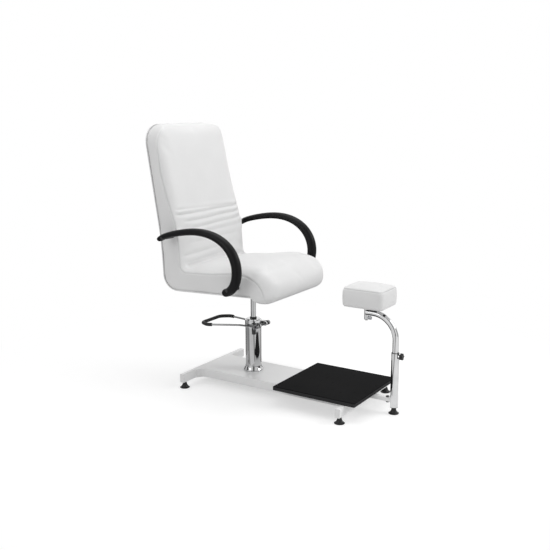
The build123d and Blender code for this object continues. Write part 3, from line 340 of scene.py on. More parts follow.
# ---------------------------------------------------------------- finishes
def leatherette():
    """Coated cloth: fine pebbled grain, soft creases, duller seams, and painted shade that darkens the seams
    and the folds a little.
    """
    look = Shader("white_leatherette")
    colour = colour_of("leatherette")
    pebble = look.cells(620.0, "SMOOTH_F1")
    fine = look.noise(1500.0, 2.0)
    crease = look.noise(38.0, 5.0, 0.62)
    cloudy = look.noise(7.0, 3.0)
    seam = look.attribute("seam")
    fold = look.attribute("fold")
    tone = look.blend(cloudy.smooth(0.35, 0.7), shade(colour, 0.975), colour)
    tone = look.blend((pebble * 0.35).clamped(), tone, shade(colour, 0.93))
    # painted shade: the folds of the pleats and the seat's crease are darkened
    tone = look.blend((fold * 0.22).clamped(), tone, shade(colour, 0.72))
    # painted shade: the seam grooves are darkened
    tone = look.blend((seam * 0.6).clamped(), tone, shade(colour, 0.5))
    height = pebble * 0.7 + fine * 0.3
    grain = look.bump(height, 0.00016, 0.55)
    creased = look.bump(crease, 0.0016, 0.22, grain)
    rough = cloudy * 0.10 + pebble * 0.06 + seam * 0.15 + 0.36
    look.set(Base_Color=tone, Roughness=rough, Normal=creased)
    look.set(Coat_Weight=0.06, Coat_Roughness=0.35, IOR=1.46)
    return look.material


def powder_coat(name, colour, gloss=0.24):
    """Gloss powder coat with its slight orange peel, dust and dulled patches."""
    look = Shader(name)
    peel = look.noise(260.0, 2.0)
    patch = look.noise(9.0, 4.0)
    specks = look.noise(900.0, 1.0).smooth(0.72, 0.8)
    dull = (patch.smooth(0.4, 0.75) * 0.5 + specks * 0.1).clamped()
    tone = look.blend(dull, colour, shade(colour, 0.965))
    look.set(Base_Color=tone, Roughness=patch * 0.12 + gloss, Normal=look.bump(peel, 0.0002, 0.25))
    look.set(Coat_Weight=0.45, Coat_Roughness=0.08)
    return look.material


def chrome(name="chrome", depth=1.0):
    """Bright chromium plate with faint wiping marks and a few fine scratches; less depth darkens the plate,
    a painted stand-in for darker reflections.
    """
    look = Shader(name)
    wipe = look.noise(16.0, 4.0)
    scratch = look.noise(60.0, 3.0, at=look.place((1, 1, 26), (0.25, 0.1, 0.3))).smooth(0.62, 0.74)
    wiped, clean = shade((0.74, 0.745, 0.75), depth), shade((0.83, 0.83, 0.835), depth)
    tone = look.blend(wipe.smooth(0.3, 0.7), wiped, clean)
    look.set(Base_Color=tone, Metallic=1.0, Roughness=wipe * 0.05 + scratch * 0.06 + 0.035)
    look.set(Normal=look.bump(scratch, 0.00004, 0.4))
    return look.material


def plated_steel(name, colour, rough=0.3):
    """Zinc-plated or bare steel with fine turning marks and cloudy plating."""
    look = Shader(name)
    lines = look.noise(120.0, 3.0, at=look.place((1, 1, 18)))
    cloud = look.noise(45.0, 4.0)
    tone = look.blend(cloud.smooth(0.3, 0.7), shade(colour, 0.78), colour)
    look.set(Base_Color=tone, Metallic=1.0, Roughness=cloud * 0.18 + lines * 0.1 + rough)
    look.set(Normal=look.bump(lines, 0.00006, 0.5))
    return look.material


def arm_moulding():
    """Integral-skin foam: fine leather grain, a soft sheen and rubbed patches."""
    look = Shader("arm_moulding")
    colour = colour_of("moulding")
    grain = look.cells(700.0, "SMOOTH_F1")
    rub = look.noise(14.0, 4.0)
    tone = look.blend(rub.smooth(0.45, 0.75) * 0.5, colour, shade(colour, 2.2))
    look.set(Base_Color=tone, Roughness=rub * 0.12 + grain * 0.08 + 0.32)
    look.set(Normal=look.bump(grain, 0.00016, 0.6), Specular_IOR_Level=0.2)
    return look.material


def plastic(name, colour, rough=0.42):
    """Injection-moulded plastic with spark-eroded grain and light scuffs."""
    look = Shader(name)
    spark = look.noise(1400.0, 2.0)
    scuff = look.noise(85.0, 5.0, 0.7).smooth(0.6, 0.72)
    scuffed = shade(colour, 1.9 if max(colour) < 0.3 else 0.94)
    tone = look.blend(scuff * 0.35, colour, scuffed)
    look.set(Base_Color=tone, Roughness=spark * 0.08 + scuff * 0.1 + rough)
    look.set(Normal=look.bump(spark, 0.00007, 0.4))
    return look.material


def rubber(name, colour, rough=0.6):
    """Matt rubber, slightly bloomed, with a fine moulded texture."""
    look = Shader(name)
    fine = look.noise(1100.0, 2.0)
    bloom = look.noise(22.0, 4.0)
    tone = look.blend(bloom.smooth(0.45, 0.8) * 0.6, colour, shade(colour, 2.4))
    look.set(Base_Color=tone, Roughness=bloom * 0.1 + rough, Normal=look.bump(fine, 0.0001, 0.5))
    return look.material


def deck_mat():
    """Black vinyl mat with a fine pyramid emboss, faint scuffs from shoes and a painted highlight on its
    side faces.
    """
    look = Shader("deck_vinyl")
    colour = colour_of("mat")
    pebble = look.cells(420.0, "F1")
    scuff = look.noise(30.0, 6.0, 0.7, at=look.place((1, 3, 1), (0, 0, 0.5))).smooth(0.58, 0.72)
    dust = look.noise(5.0, 3.0)
    tone = look.blend((scuff * 0.3 + dust.smooth(0.5, 0.8) * 0.25).clamped(), colour, shade(colour, 1.8))
    # painted highlight: the mat's side faces are lighter grey than its top
    edge = 1.0 - look.upward().math("ABSOLUTE").smooth(0.3, 0.7)
    tone = look.blend(edge, tone, (0.035, 0.035, 0.036))
    look.set(Base_Color=tone, Roughness=scuff * 0.12 + dust * 0.1 + 0.55)
    look.set(Normal=look.bump(pebble, 0.00025, 0.35), Specular_IOR_Level=0.03)
    return look.material


def board(name, colour, layered):
    """Wood board: chips of particle board, or the thin layers of plywood."""
    look = Shader(name)
    if layered:
        grain = look.noise(9.0, 6.0, 0.65, at=look.place((14, 2, 2)))
        bands = look.bands("Z", 210.0, 0.6)
        pattern = grain * 0.6 + bands * 0.4
    else:
        pattern = look.cells(260.0, "F1", at=look.place((1, 1, 2.2)))
    tone = look.blend(pattern.clamped(), shade(colour, 0.72), shade(colour, 1.12))
    look.set(Base_Color=tone, Roughness=pattern * 0.15 + 0.6, Normal=look.bump(pattern, 0.0002, 0.5))
    return look.material


def dust_cloth():
    """Black spun cloth stapled under a board whose edges are wrapped in white leatherette."""
    look = Shader("dust_cloth")
    warp, weft = (look.noise(700.0, 2.0, at=look.place(stretch)) for stretch in ((1, 5, 1), (5, 1, 1)))
    threads = warp * 0.5 + weft * 0.5
    edge = look.upward().smooth(-0.8, -0.6)
    cloth = look.blend(threads.clamped(), (0.006, 0.006, 0.006), (0.03, 0.03, 0.031))
    tone = look.blend(edge, cloth, colour_of("leatherette"))
    look.set(Base_Color=tone, Roughness=threads * 0.1 + edge * -0.4 + 0.85)
    look.set(Normal=look.bump(threads, 0.0003, 0.6))
    return look.material


def thread_finish():
    """Twisted polyester thread."""
    look = Shader("thread")
    twist = look.bands("DIAGONAL", 900.0)
    colour = colour_of("leatherette")
    look.set(Base_Color=look.blend(twist, shade(colour, 0.80), shade(colour, 0.98)))
    look.set(Roughness=0.45 + twist * 0.1, Normal=look.bump(twist, 0.0001, 0.6))
    return look.material


FINISHES = {}


def make_finishes():
    FINISHES.update(
        white_leatherette=leatherette(),
        white_paint=powder_coat("white_paint", colour_of("paint")),
        black_paint=powder_coat("black_paint", (0.014, 0.014, 0.015), 0.3),
        chrome=chrome(),
        # chrome darkened to paint in dark reflections
        dark_chrome=chrome("dark_chrome", 0.42),
        # chrome dimmed to paint in darker reflections
        pump_chrome=chrome("pump_chrome", 0.78),
        zinc_steel=plated_steel("zinc_steel", (0.62, 0.63, 0.65)),
        spring_steel=plated_steel("spring_steel", (0.42, 0.42, 0.44), 0.22),
        black_plastic=plastic("black_plastic", colour_of("plastic")),
        white_plastic=plastic("white_plastic", (0.80, 0.80, 0.80), 0.32),
        black_moulding=arm_moulding(),
        black_rubber=rubber("black_rubber", (0.012, 0.012, 0.012), 0.5),
        deck_vinyl=deck_mat(),
        particle_board=board("particle_board", (0.42, 0.33, 0.22), False),
        plywood=board("plywood", (0.62, 0.47, 0.31), True),
        dust_cloth=dust_cloth(),
        thread=thread_finish(),
    )


NODE_FINISH = {
    "bottom_board": "dust_cloth",
    "beam_caps": "white_plastic",
    "deck_board": "deck_vinyl",
    "pad_board": "dust_cloth",
    "arm_bolts": "black_paint",
    "pad_lock_screw": "zinc_steel",
    "head_cap": "chrome",
    # the pedal fork's darkened chrome is painted dark reflection
    "pedal_fork": "dark_chrome",
    # the pump barrel, base ring and ram get chrome dimmed as painted darker reflection
    "pump_barrel": "pump_chrome",
    "base_ring": "pump_chrome",
    "ram": "pump_chrome",
    "arm_blocks": "white_leatherette",
    "arm_spacers": "black_moulding",
}


# ---------------------------------------------------------------- mesh helpers
def new_piece(name, points, faces, finish):
    mesh = bpy.data.meshes.new(name)
    mesh.from_pydata([tuple(p) for p in points], [], [tuple(f) for f in faces])
    mesh.validate()
    mesh.materials.append(FINISHES[finish])
    mesh.shade_smooth()
    return linked(name, mesh)


def linked(name, data):
    """A new object in the scene."""
    item = bpy.data.objects.new(name, data)
    bpy.context.scene.collection.objects.link(item)
    return item


def tidy_normals(piece):
    """Merges doubles and turns the faces outwards."""
    bm = bmesh.new()
    bm.from_mesh(piece.data)
    bmesh.ops.remove_doubles(bm, verts=bm.verts, dist=MERGE)
    bmesh.ops.dissolve_degenerate(bm, edges=bm.edges, dist=MERGE)
    bmesh.ops.recalc_face_normals(bm, faces=bm.faces)
    bm.to_mesh(piece.data)
    bm.free()


def modified(piece, kind, **settings):
    """Adds a modifier with some settings, and applies it."""
    configure(piece.modifiers.new(kind.title(), kind), settings)
    graph = bpy.context.evaluated_depsgraph_get()
    mesh = bpy.data.meshes.new_from_object(piece.evaluated_get(graph), depsgraph=graph)
    piece.modifiers.clear()
    old = piece.data
    piece.data = mesh
    bpy.data.meshes.remove(old)
    mesh.name = piece.name


def vertex_values(piece, field):
    values = np.empty(len(piece.data.vertices) * 3)
    piece.data.vertices.foreach_get(field, values)
    return values.reshape(-1, 3)


def points_of(piece):
    return vertex_values(piece, "co")


def put_points(piece, points):
    piece.data.vertices.foreach_set("co", points.ravel())
    piece.data.update()


def normals_of(piece):
    return vertex_values(piece, "normal")


def write_attribute(piece, name, values):
    held = piece.data.attributes.get(name) or piece.data.attributes.new(name, "FLOAT", "POINT")
    held.data.foreach_set("value", np.asarray(values, np.float32))


def smoothstep(x, low, high):
    t = np.clip((x - low) / (high - low), 0, 1)
    return t * t * (3 - 2 * t)


def surface_of(piece):
    """A piece's surface, to drop points on and cast rays at."""
    mesh = piece.data
    return BVHTree.FromPolygons([v.co for v in mesh.vertices], [list(p.vertices) for p in mesh.polygons])


def even_line(points, step):
    """The same line with points an even distance apart."""
    points = np.asarray(points, float)
    lengths = np.linalg.norm(np.diff(points, axis=0), axis=1)
    along = np.concatenate([[0], np.cumsum(lengths)])
    count = max(2, int(round(along[-1] / step)) + 1)
    at = np.linspace(0, along[-1], count)
    return np.stack([np.interp(at, along, points[:, k]) for k in range(points.shape[1])], 1)


def softened(points, rounds):
    """A line with its corners worn down by averaging neighbours."""
    points = np.array(points, float)
    for _ in range(rounds):
        points[1:-1] = (points[:-2] + 2 * points[1:-1] + points[2:]) / 4
    return points


def line_normals(points):
    """Unit normals of a (y, z) line, to the left of its direction."""
    along = np.gradient(points, axis=0)
    along /= np.linalg.norm(along, axis=1)[:, None]
    return np.stack([-along[:, 1], along[:, 0]], 1)


def ray(surface, y, z, angle):
    """Where a ray in the plane of symmetry, at an angle up from +Y, meets a surface: (y, z)."""
    turn = math.radians(angle)
    hit = surface.ray_cast(Vector((0, y, z)), Vector((0, math.cos(turn), math.sin(turn))))[0]
    if hit is None:
        raise RuntimeError(f"a ray from y {y:.3f}, z {z:.3f} at {angle:.0f} degrees meets no solid")
    return hit.y, hit.z


# ---------------------------------------------------------------- padded covers
CLOTH_STIFFNESS = 12.0
CLOTH_FRAMES = 20


def simulated(piece, pinned, pressure):
    """Points of the cover after a cloth simulation with the filling's pressure inside."""
    group = piece.vertex_groups.new(name="pinned")
    for index in np.nonzero(pinned > 0.02)[0]:
        group.add([int(index)], float(pinned[index]), "REPLACE")
    cloth = piece.modifiers.new("Cloth", "CLOTH")
    configure(cloth.settings, {
        "quality": 4,
        "mass": 0.3,
        "tension_stiffness": CLOTH_STIFFNESS,
        "compression_stiffness": CLOTH_STIFFNESS,
        "shear_stiffness": CLOTH_STIFFNESS / 2,
        "bending_stiffness": CLOTH_STIFFNESS / 2,
        "vertex_group_mass": "pinned",
        "use_pressure": True,
        "uniform_pressure_force": pressure,
    })
    cloth.settings.effector_weights.gravity = 0.0
    configure(cloth.point_cache, {"frame_start": 1, "frame_end": CLOTH_FRAMES})
    for number in range(1, CLOTH_FRAMES + 1):
        bpy.context.scene.frame_set(number)
    graph = bpy.context.evaluated_depsgraph_get()
    swollen = np.array([v.co for v in piece.evaluated_get(graph).data.vertices])
    piece.modifiers.clear()
    piece.vertex_groups.clear()
    bpy.context.scene.frame_set(1)
    return swollen


def inflate(piece, pinned, pressure, swell):
    """Swells the cover between its pinned seams, nowhere by more than the largest swell."""
    rest = points_of(piece)
    swollen = simulated(piece, pinned, pressure)
    moved = swollen - rest
    far = np.linalg.norm(moved, axis=1)
    held = swell * np.tanh(far / swell)
    put_points(piece, rest + moved * (held / np.maximum(far, 1e-9))[:, None])


def remeshed(piece, voxel):
    modified(piece, "REMESH", mode="VOXEL", voxel_size=voxel, use_smooth_shade=True)


def subdivided(piece):
    modified(piece, "SUBSURF", levels=1, render_levels=1)


def distance_to(lines, points):
    """Shortest distance from each point to a set of closely spaced line points."""
    joined = np.concatenate(lines)
    tree = KDTree(len(joined))
    for index, point in enumerate(joined):
        tree.insert(point, index)
    tree.balance()
    return np.array([tree.find(p)[2] for p in points])


def refine_near(piece, lines, reach):
    """Splits the faces near some lines, so that a seam there is crisp."""
    bm = bmesh.new()
    bm.from_mesh(piece.data)
    centres = np.array([f.calc_center_median() for f in bm.faces])
    near = distance_to(lines, centres) < reach
    bm.faces.ensure_lookup_table()
    edges = {e for index in np.nonzero(near)[0] for e in bm.faces[index].edges}
    bmesh.ops.subdivide_edges(bm, edges=list(edges), cuts=1, use_grid_fill=True)
    bm.to_mesh(piece.data)
    bm.free()
    piece.data.shade_smooth()


def press_seams(piece, lines, depth, width):
    """Pulls the cover in along its seams and marks them for the finish, which paints shade into them and
    dulls them.
    """
    points = points_of(piece)
    gap = distance_to(lines, points)
    groove = np.exp(-(gap / width) ** 2)
    put_points(piece, points - normals_of(piece) * (depth * groove)[:, None])
    # the seam mark: painted shade and duller cloth in the grooves
    write_attribute(piece, "seam", np.exp(-(gap / (0.45 * width)) ** 2))


# ---------------------------------------------------------------- what runs or repeats along a line
class Tree:
    """A Geometry Nodes tree with named sizes; its mesh input is a set of lines."""

    def __init__(self, name, **sizes):
        self.group = bpy.data.node_groups.new(name, "GeometryNodeTree")
        sockets = self.group.interface
        sockets.new_socket("Geometry", in_out="INPUT", socket_type="NodeSocketGeometry")
        sockets.new_socket("Geometry", in_out="OUTPUT", socket_type="NodeSocketGeometry")
        for size, value in sizes.items():
            sockets.new_socket(size, in_out="INPUT", socket_type="NodeSocketFloat").default_value = value
        self.start = self.group.nodes.new("NodeGroupInput")
        self.end = self.group.nodes.new("NodeGroupOutput")
        self.lines = self.add("GeometryNodeMeshToCurve", Mesh=self.size("Geometry"))

    def size(self, name):
        return self.start.outputs[name]

    def add(self, kind, settings=None, output=0, **inputs):
        node = configure(self.group.nodes.new(kind), settings or {})
        for key, value in inputs.items():
            slot = node.inputs[key.replace("_", " ")]
            if isinstance(value, bpy.types.NodeSocket):
                self.group.links.new(value, slot)
            else:
                slot.default_value = value
        return node.outputs[output]

    def close(self, geometry, finish):
        real = self.add("GeometryNodeRealizeInstances", Geometry=geometry)
        dressed = self.add("GeometryNodeSetMaterial", Geometry=real, Material=FINISHES[finish])
        self.group.links.new(dressed, self.end.inputs[0])
        return self


def stitch_tree(name, finish):
    """Small rounded bars laid end to end along the lines."""
    tree = Tree(name, Pitch=0.005, Length=0.0038, Thickness=0.0009)
    pitch = tree.size("Pitch")
    at = tree.add("GeometryNodeCurveToPoints", {"mode": "LENGTH"}, Curve=tree.lines, Length=pitch)
    turn = at.node.outputs["Rotation"]
    bar = tree.add("GeometryNodeMeshUVSphere", Segments=6, Rings=4, Radius=0.5)
    thick, length = tree.size("Thickness"), tree.size("Length")
    size = tree.add("ShaderNodeCombineXYZ", X=thick, Y=thick, Z=length)
    laid = tree.add("GeometryNodeInstanceOnPoints", Points=at, Instance=bar, Rotation=turn, Scale=size)
    return tree.close(laid, finish)


def piping_tree(name, finish):
    """A round cord sewn into a seam."""
    tree = Tree(name, Radius=0.002)
    round_section = tree.add("GeometryNodeCurvePrimitiveCircle", Resolution=8, Radius=tree.size("Radius"))
    cord = tree.add("GeometryNodeCurveToMesh", Curve=tree.lines, Profile_Curve=round_section, Fill_Caps=True)
    smooth = tree.add("GeometryNodeSetShadeSmooth", Geometry=cord)
    return tree.close(smooth, finish)


def grown(name, lines, tree, **sizes):
    """The plain mesh that a tree grows along some 3-D lines."""
    points, edges = [], []
    for line in lines:
        first = len(points)
        points += [tuple(p) for p in line]
        edges += [(i, i + 1) for i in range(first, len(points) - 1)]
    mesh = bpy.data.meshes.new(name + "_lines")
    mesh.from_pydata(points, edges, [])
    guide = linked(name + "_lines", mesh)
    modifier = guide.modifiers.new("Grow", "NODES")
    modifier.node_group = tree.group
    for item in tree.group.interface.items_tree:
        if item.in_out == "INPUT" and item.name in sizes:
            modifier[item.identifier] = sizes[item.name]
    graph = bpy.context.evaluated_depsgraph_get()
    result = bpy.data.meshes.new_from_object(guide.evaluated_get(graph))
    bpy.data.objects.remove(guide)
    return linked(name, result)


def laid_on(piece, line, lift):
    """A 3-D line dropped onto a piece's surface, and a little proud of it."""
    surface = surface_of(piece)
    spots = []
    for point in line:
        place, normal = surface.find_nearest(Vector(point))[:2]
        spots.append(place + normal * lift)
    return np.array(spots)


# ---------------------------------------------------------------- seat and back upholstery
def chair_profile():
    """(y, z) lines of the upholstery in the plane of symmetry: the sitter's side and the board's side."""
    back, seat = surface_of(NODES["back_cushion"]), surface_of(NODES["seat_cushion"])
    cover, board = surface_of(NODES["back_cover"]), surface_of(NODES["bottom_board"])
    top, front = BACK_HI.z, SEAT_LO.y
    rear = [ray(cover, BACK_LO.y - 0.3, z, 0) for z in np.linspace(top - MM, COVER_LO.z + SHELL_BEND, 60)]
    y, z = rear[-1]
    bend = y + BEND_CENTRE[0], z + BEND_CENTRE[1]
    rear += [ray(cover, *bend, a) for a in np.linspace(-12, -78, 10)]
    under = np.linspace(COVER_LO.y - MM, front + BOARD_FRONT, 30)
    rear += [ray(board, y, CREASE_Z - 0.05, -90) for y in under]
    hub_y, hub_z = rear[0][0] - TOP_HUB[0], top - TOP_HUB[1]
    face = [(rear[0][0], top), (hub_y, top)]
    face += [ray(back, hub_y, hub_z, a) for a in np.linspace(95, 180, 14)]
    face += [ray(back, front, z, 0) for z in np.linspace(hub_z - 0.01, CREASE_Z + 0.012, 52)]
    nose_y, nose_z = front + NOSE_MIDDLE, (SEAT_LO.z + SEAT_HI.z) / 2 - 0.01
    face += [ray(seat, y, top, -90) for y in np.linspace(face[-1][0] - 0.012, nose_y + 0.01, 40)]
    face += [ray(seat, nose_y, nose_z, a) for a in np.linspace(92, 262, 34)]
    face += [(front + 0.1, SEAT_LO.z), (front + BOARD_FRONT - 1.5 * MM, rear[-1][1])]
    return np.array(face), np.array(rear)


# (y, z) of the seam on each side, from the top of the back, round the crease and down the nose
SIDE_SEAM = [
    (0.524, 1.300), (0.522, 1.180), (0.520, 1.111), (0.507, 1.016), (0.473, 0.907), (0.430, 0.788),
    (0.415, 0.709), (0.402, 0.566), (0.247, 0.573), (0.118, 0.590), (0.066, 0.591), (0.038, 0.587),
    (0.008, 0.576), (-0.016, 0.563), (-0.032, 0.548), (-0.042, 0.533), (-0.049, 0.517), (-0.053, 0.500),
    (-0.056, 0.484), (-0.058, 0.460),
]
CREASE_POINT = 7                # the seam's corner, where the seat meets the back
SEAM_END_Z = 0.499              # the seam runs out under the nose


def seam_depths(face, inward, usual):
    """How far in from the face the side seam lies, at each point of the face."""
    line = np.array(SIDE_SEAM)
    starts, runs = line[:-1], np.diff(line, axis=0)
    depths = np.full(len(face), usual)
    for i, (spot, way) in enumerate(zip(face, inward)):
        if not SEAM_END_Z - 0.02 < spot[1] < BACK_HI.z - TOP_CORNER:
            continue
        cross = runs[:, 0] * way[1] - runs[:, 1] * way[0]
        cross = np.where(np.abs(cross) < 1e-9, 1e-9, cross)     # parallel lines meet far away
        gap = starts - spot
        along = (gap[:, 1] * runs[:, 0] - gap[:, 0] * runs[:, 1]) / cross
        share = (gap[:, 1] * way[0] - gap[:, 0] * way[1]) / cross
        hits = along[(share >= 0) & (share <= 1) & (along > SEAM_INSET[0]) & (along < SEAM_INSET[1])]
        if len(hits):
            depths[i] = hits.min()
    return softened(depths, 3)


def outline_gap(x, z):
    """How far points of the rear lie inside the outline of the back, seen from behind."""
    across = abs(x) - (HALF_SEAT - TOP_CORNER)
    up = z - (BACK_HI.z - TOP_CORNER)
    corner = TOP_CORNER - np.hypot(np.maximum(across, 0), np.maximum(up, 0))
    return np.where((across > 0) | (up > 0), corner, TOP_CORNER)


def corner_drop(beyond):
    """How far the back's rounded top corner falls away, this far past the start of the rounding."""
    return TOP_CORNER - math.sqrt(max(TOP_CORNER ** 2 - max(beyond, 0.0) ** 2, 0.0))


def corner_arc(half, steps):
    """(x, z) points round a top corner, from the side up to the top."""
    centre_x, centre_z = half - TOP_CORNER, BACK_HI.z - TOP_CORNER
    turn = np.linspace(0, math.pi / 2, steps)
    return [(centre_x + TOP_CORNER * math.cos(a), centre_z + TOP_CORNER * math.sin(a)) for a in turn]


def closed_shell(rings):
    """Points and faces of a closed shell through rings of as many points, with flat ends."""
    count, size = len(rings), len(rings[0])
    faces = []
    for a in range(0, (count - 1) * size, size):
        b = a + size
        faces += [(a + i, b + i, b + (i + 1) % size, a + (i + 1) % size) for i in range(size)]
    faces.append(tuple(range(size)))
    faces.append(tuple(reversed(range((count - 1) * size, count * size))))
    return np.concatenate(rings), faces


def chair_body():
    """Closed shell of the upholstery before it is filled, with the (y, z) line of its side seams."""
    face, rear = chair_profile()
    face = softened(even_line(face, 0.009), 2)
    rear = even_line(rear[::-1], 0.01)
    inward = line_normals(face)
    rearward = line_normals(rear)
    along = np.linspace(0, 1, len(face))        # from the top of the back to the board under the nose
    held = smoothstep(along, 0.0, 0.03) * (1 - smoothstep(along, 0.965, 0.995))
    nose = np.clip((SEAT_LO.y + NOSE_LENGTH - face[:, 0]) / NOSE_LENGTH, 0, 1)
    nose *= np.clip((NOSE_TOP_Z - face[:, 1]) / NOSE_FADE, 0, 1)
    depth = seam_depths(face, inward, upholstery_settings().edge_round)
    reach = EDGE_REACH + NOSE_REACH * nose
    half = HALF_COVER
    outer = -half + (1 - np.cos(np.linspace(0, math.pi / 2, 12))) * EDGE_STATIONS
    middle = half - EDGE_STATIONS - 6 * MM
    stations = np.concatenate([outer, np.linspace(-middle, middle, 24), -outer[::-1]])
    rings = []
    for x in stations:
        over = np.clip((abs(x) - (half - reach)) / reach, 0, 1) * SIDE_TURN
        inset = depth * (1 - np.sqrt(1 - over ** 2)) / (1 - math.sqrt(1 - SIDE_TURN ** 2)) * held
        wrap = REAR_WRAP * (1 - smoothstep(outline_gap(x, rear[:, 1]), 0.006, 0.013))
        top = BACK_HI.z - corner_drop(abs(x) - (half - TOP_CORNER))
        behind = rear - rearward * wrap[:, None]
        behind[rear[:, 1] > top] = (np.interp(top, rear[-TOP_POINTS:, 1], rear[-TOP_POINTS:, 0]), top)
        ring = np.concatenate([face + inward * inset[:, None], behind])
        ring[:, 1] = np.minimum(ring[:, 1], top)
        rings.append(at_side(x, ring))
    side = (face + inward * (depth * held)[:, None])[np.argmax(held > 0.5):]
    sewn = (side[:, 1] < BACK_HI.z - TOP_CORNER - MM) & (side[:, 1] > SEAM_END_Z)
    return *closed_shell(rings), side[sewn]


def at_side(x, line):
    """A (y, z) line as 3-D points at one x."""
    return np.column_stack([np.full(len(line), x), line])


def top_seam(start):
    """The seam's way over the top of the back, from one side to the other, as 3-D points."""
    arc = [(HALF_COVER, start[1])] + corner_arc(HALF_COVER, 14)
    flat = [(x, BACK_HI.z) for x in np.linspace(arc[-1][0], -arc[-1][0], 60)]
    line = arc + flat + [(-x, z) for x, z in reversed(arc)]
    return np.array([(x, start[0], z) for x, z in line])


class CHAIR_OT_upholstery(bpy.types.Operator):
    """Makes the padded cover of the seat and back, filled by cloth simulation, with its seams and pleats"""
    bl_idname = "chair.upholstery"
    bl_label = "Seat and back upholstery"

    def execute(self, context):
        chosen = upholstery_settings()
        points, faces, run = chair_body()
        piece = new_piece("seat_back_upholstery", points, faces, "white_leatherette")
        tidy_normals(piece)
        fine = even_line(run, SEAM_STEP)
        over = even_line(top_seam(run[0]), SEAM_STEP)
        seams = [at_side(side * HALF_COVER, fine) for side in (-1, 1)] + [over]
        beside = fine - line_normals(fine) * STITCH_OFFSET
        rows = [at_side(side * HALF_COVER, beside) for side in (-1, 1)] + [over - (0, STITCH_OFFSET, 0)]
        remeshed(piece, chosen.voxel)
        rest = points_of(piece)
        rear = chair_profile()[1]
        held = np.exp(-(distance_to(seams, rest) / HOLD) ** 2)
        pinned = np.maximum(held, (rear_distance(rest, rear) < HOLD).astype(float))
        inflate(piece, pinned, chosen.pressure, chosen.swell)
        modified(piece, "SMOOTH", factor=0.5, iterations=9)
        cover_blocks(piece)
        subdivided(piece)
        refine_near(piece, pleat_lines(), 0.016)
        pleat(piece, chosen.pleat_depth)
        refine_near(piece, seams, 0.008)
        press_seams(piece, seams, chosen.seam_depth, SEAM_WIDTH)
        SEWING["chair"] = [laid_on(piece, row, 0.3 * chosen.thread) for row in rows]
        SEWING["chair_welt"] = [welt_line(rear)]
        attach(piece, "chair")
        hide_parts("seat_cushion", "back_cushion")
        return {"FINISHED"}


def rear_distance(points, rear):
    """Distance of 3-D points to the board's line in the (y, z) plane."""
    return distance_to([at_side(0, even_line(rear, 0.003))], at_side(0, points[:, 1:]))


def welt_line(rear):
    """The piping's way along the joint of the front cover and the rear panel, from side to side."""
    line = even_line(rear, 0.006)[::-1]
    side = [(HALF_SEAT, y, z) for y, z in line[line[:, 1] < BACK_HI.z - TOP_CORNER]]
    upper = line[-TOP_POINTS:]
    side += [(x, np.interp(z, upper[:, 1], upper[:, 0]), z) for x, z in corner_arc(HALF_SEAT, 24)[1:]]
    other = [(-x, y, z) for x, y, z in reversed(side)]
    return even_line(np.array(side + other), 0.005)


SEWING = {}                     # lines for stitches and piping, by what they are sewn to

# each fold across the lower back: its height in the middle, its tilt, its depth against the pleat
# depth, its half width, and how far it runs to the right and the left
PLEATS = [
    (0.845, -0.020, 0.35, 0.006, -0.26, 0.20),
    (0.829, 0.010, 1.00, 0.007, -0.26, 0.26),
    (0.798, 0.015, 0.90, 0.007, -0.21, 0.26),
    (0.767, 0.018, 0.85, 0.007, -0.17, 0.26),
    (0.736, 0.022, 0.50, 0.008, -0.14, 0.25),
    (0.698, 0.030, 0.30, 0.009, -0.20, 0.20),
    (0.652, 0.046, 0.55, 0.009, -0.26, 0.14),
    (0.618, 0.040, 0.35, 0.008, -0.24, 0.06),
]


def fold_height(height, tilt, x):
    """Height of a slightly wavy fold at x."""
    return height + tilt * x + 0.0015 * np.sin(x * 9.0 + height * 40) + 0.0008 * np.sin(x * 27.0)


def pleat_lines():
    """Points along each fold, near the face of the back."""
    back = surface_of(NODES["back_cushion"])
    lines = []
    for height, tilt, _, _, right, left in PLEATS:
        x = np.linspace(right, left, 100)
        z = fold_height(height, tilt, x)
        y = [ray(back, SEAT_LO.y, height, 0)[0] for height in z]
        lines.append(np.column_stack([x, y, z]))
    return lines


def pleat(piece, depth):
    """Sharp little folds across the lower back, each between two soft ridges, and the seat's crease, both
    marked for painted shade.
    """
    points, normals = points_of(piece), normals_of(piece)
    x, y, z = points.T
    inside = HALF_SEAT - np.abs(x)
    shown = smoothstep(-normals[:, 1], 0.25, 0.6) * smoothstep(inside - 0.008, 0.0, 0.03)
    fold, push = np.zeros(len(points)), np.zeros(len(points))
    for height, tilt, share, width, right, left in PLEATS:
        off = z - fold_height(height, tilt, x)
        reach = smoothstep(x, right - 0.01, right + 0.04) * smoothstep(-x, -left - 0.01, 0.04 - left)
        groove = np.exp(-np.abs(off / width) ** 1.6)
        above = np.exp(-((off - 1.9 * width) / (1.5 * width)) ** 2)
        below = 0.5 * np.exp(-((off + 1.9 * width) / (1.5 * width)) ** 2)
        fold = np.maximum(fold, share * reach * np.exp(-(off / (0.4 * width)) ** 2))
        push += share * reach * (0.45 * (above + below) - groove)
    crease_y, crease_z = SIDE_SEAM[CREASE_POINT]
    off = np.hypot(y - crease_y + CREASE_INSET, z - crease_z - CREASE_INSET)
    dip = np.exp(-(off / CREASE_WIDTH) ** 2)
    dip *= smoothstep(inside - 0.02, 0.0, 0.03)
    put_points(piece, points + normals * (push * depth * shown - CREASE_DEPTH * dip)[:, None])
    # the fold mark paints shade into the folds and along the seat's crease
    write_attribute(piece, "fold", np.maximum(fold * shown, 0.8 * np.exp(-(off / 0.006) ** 2)))


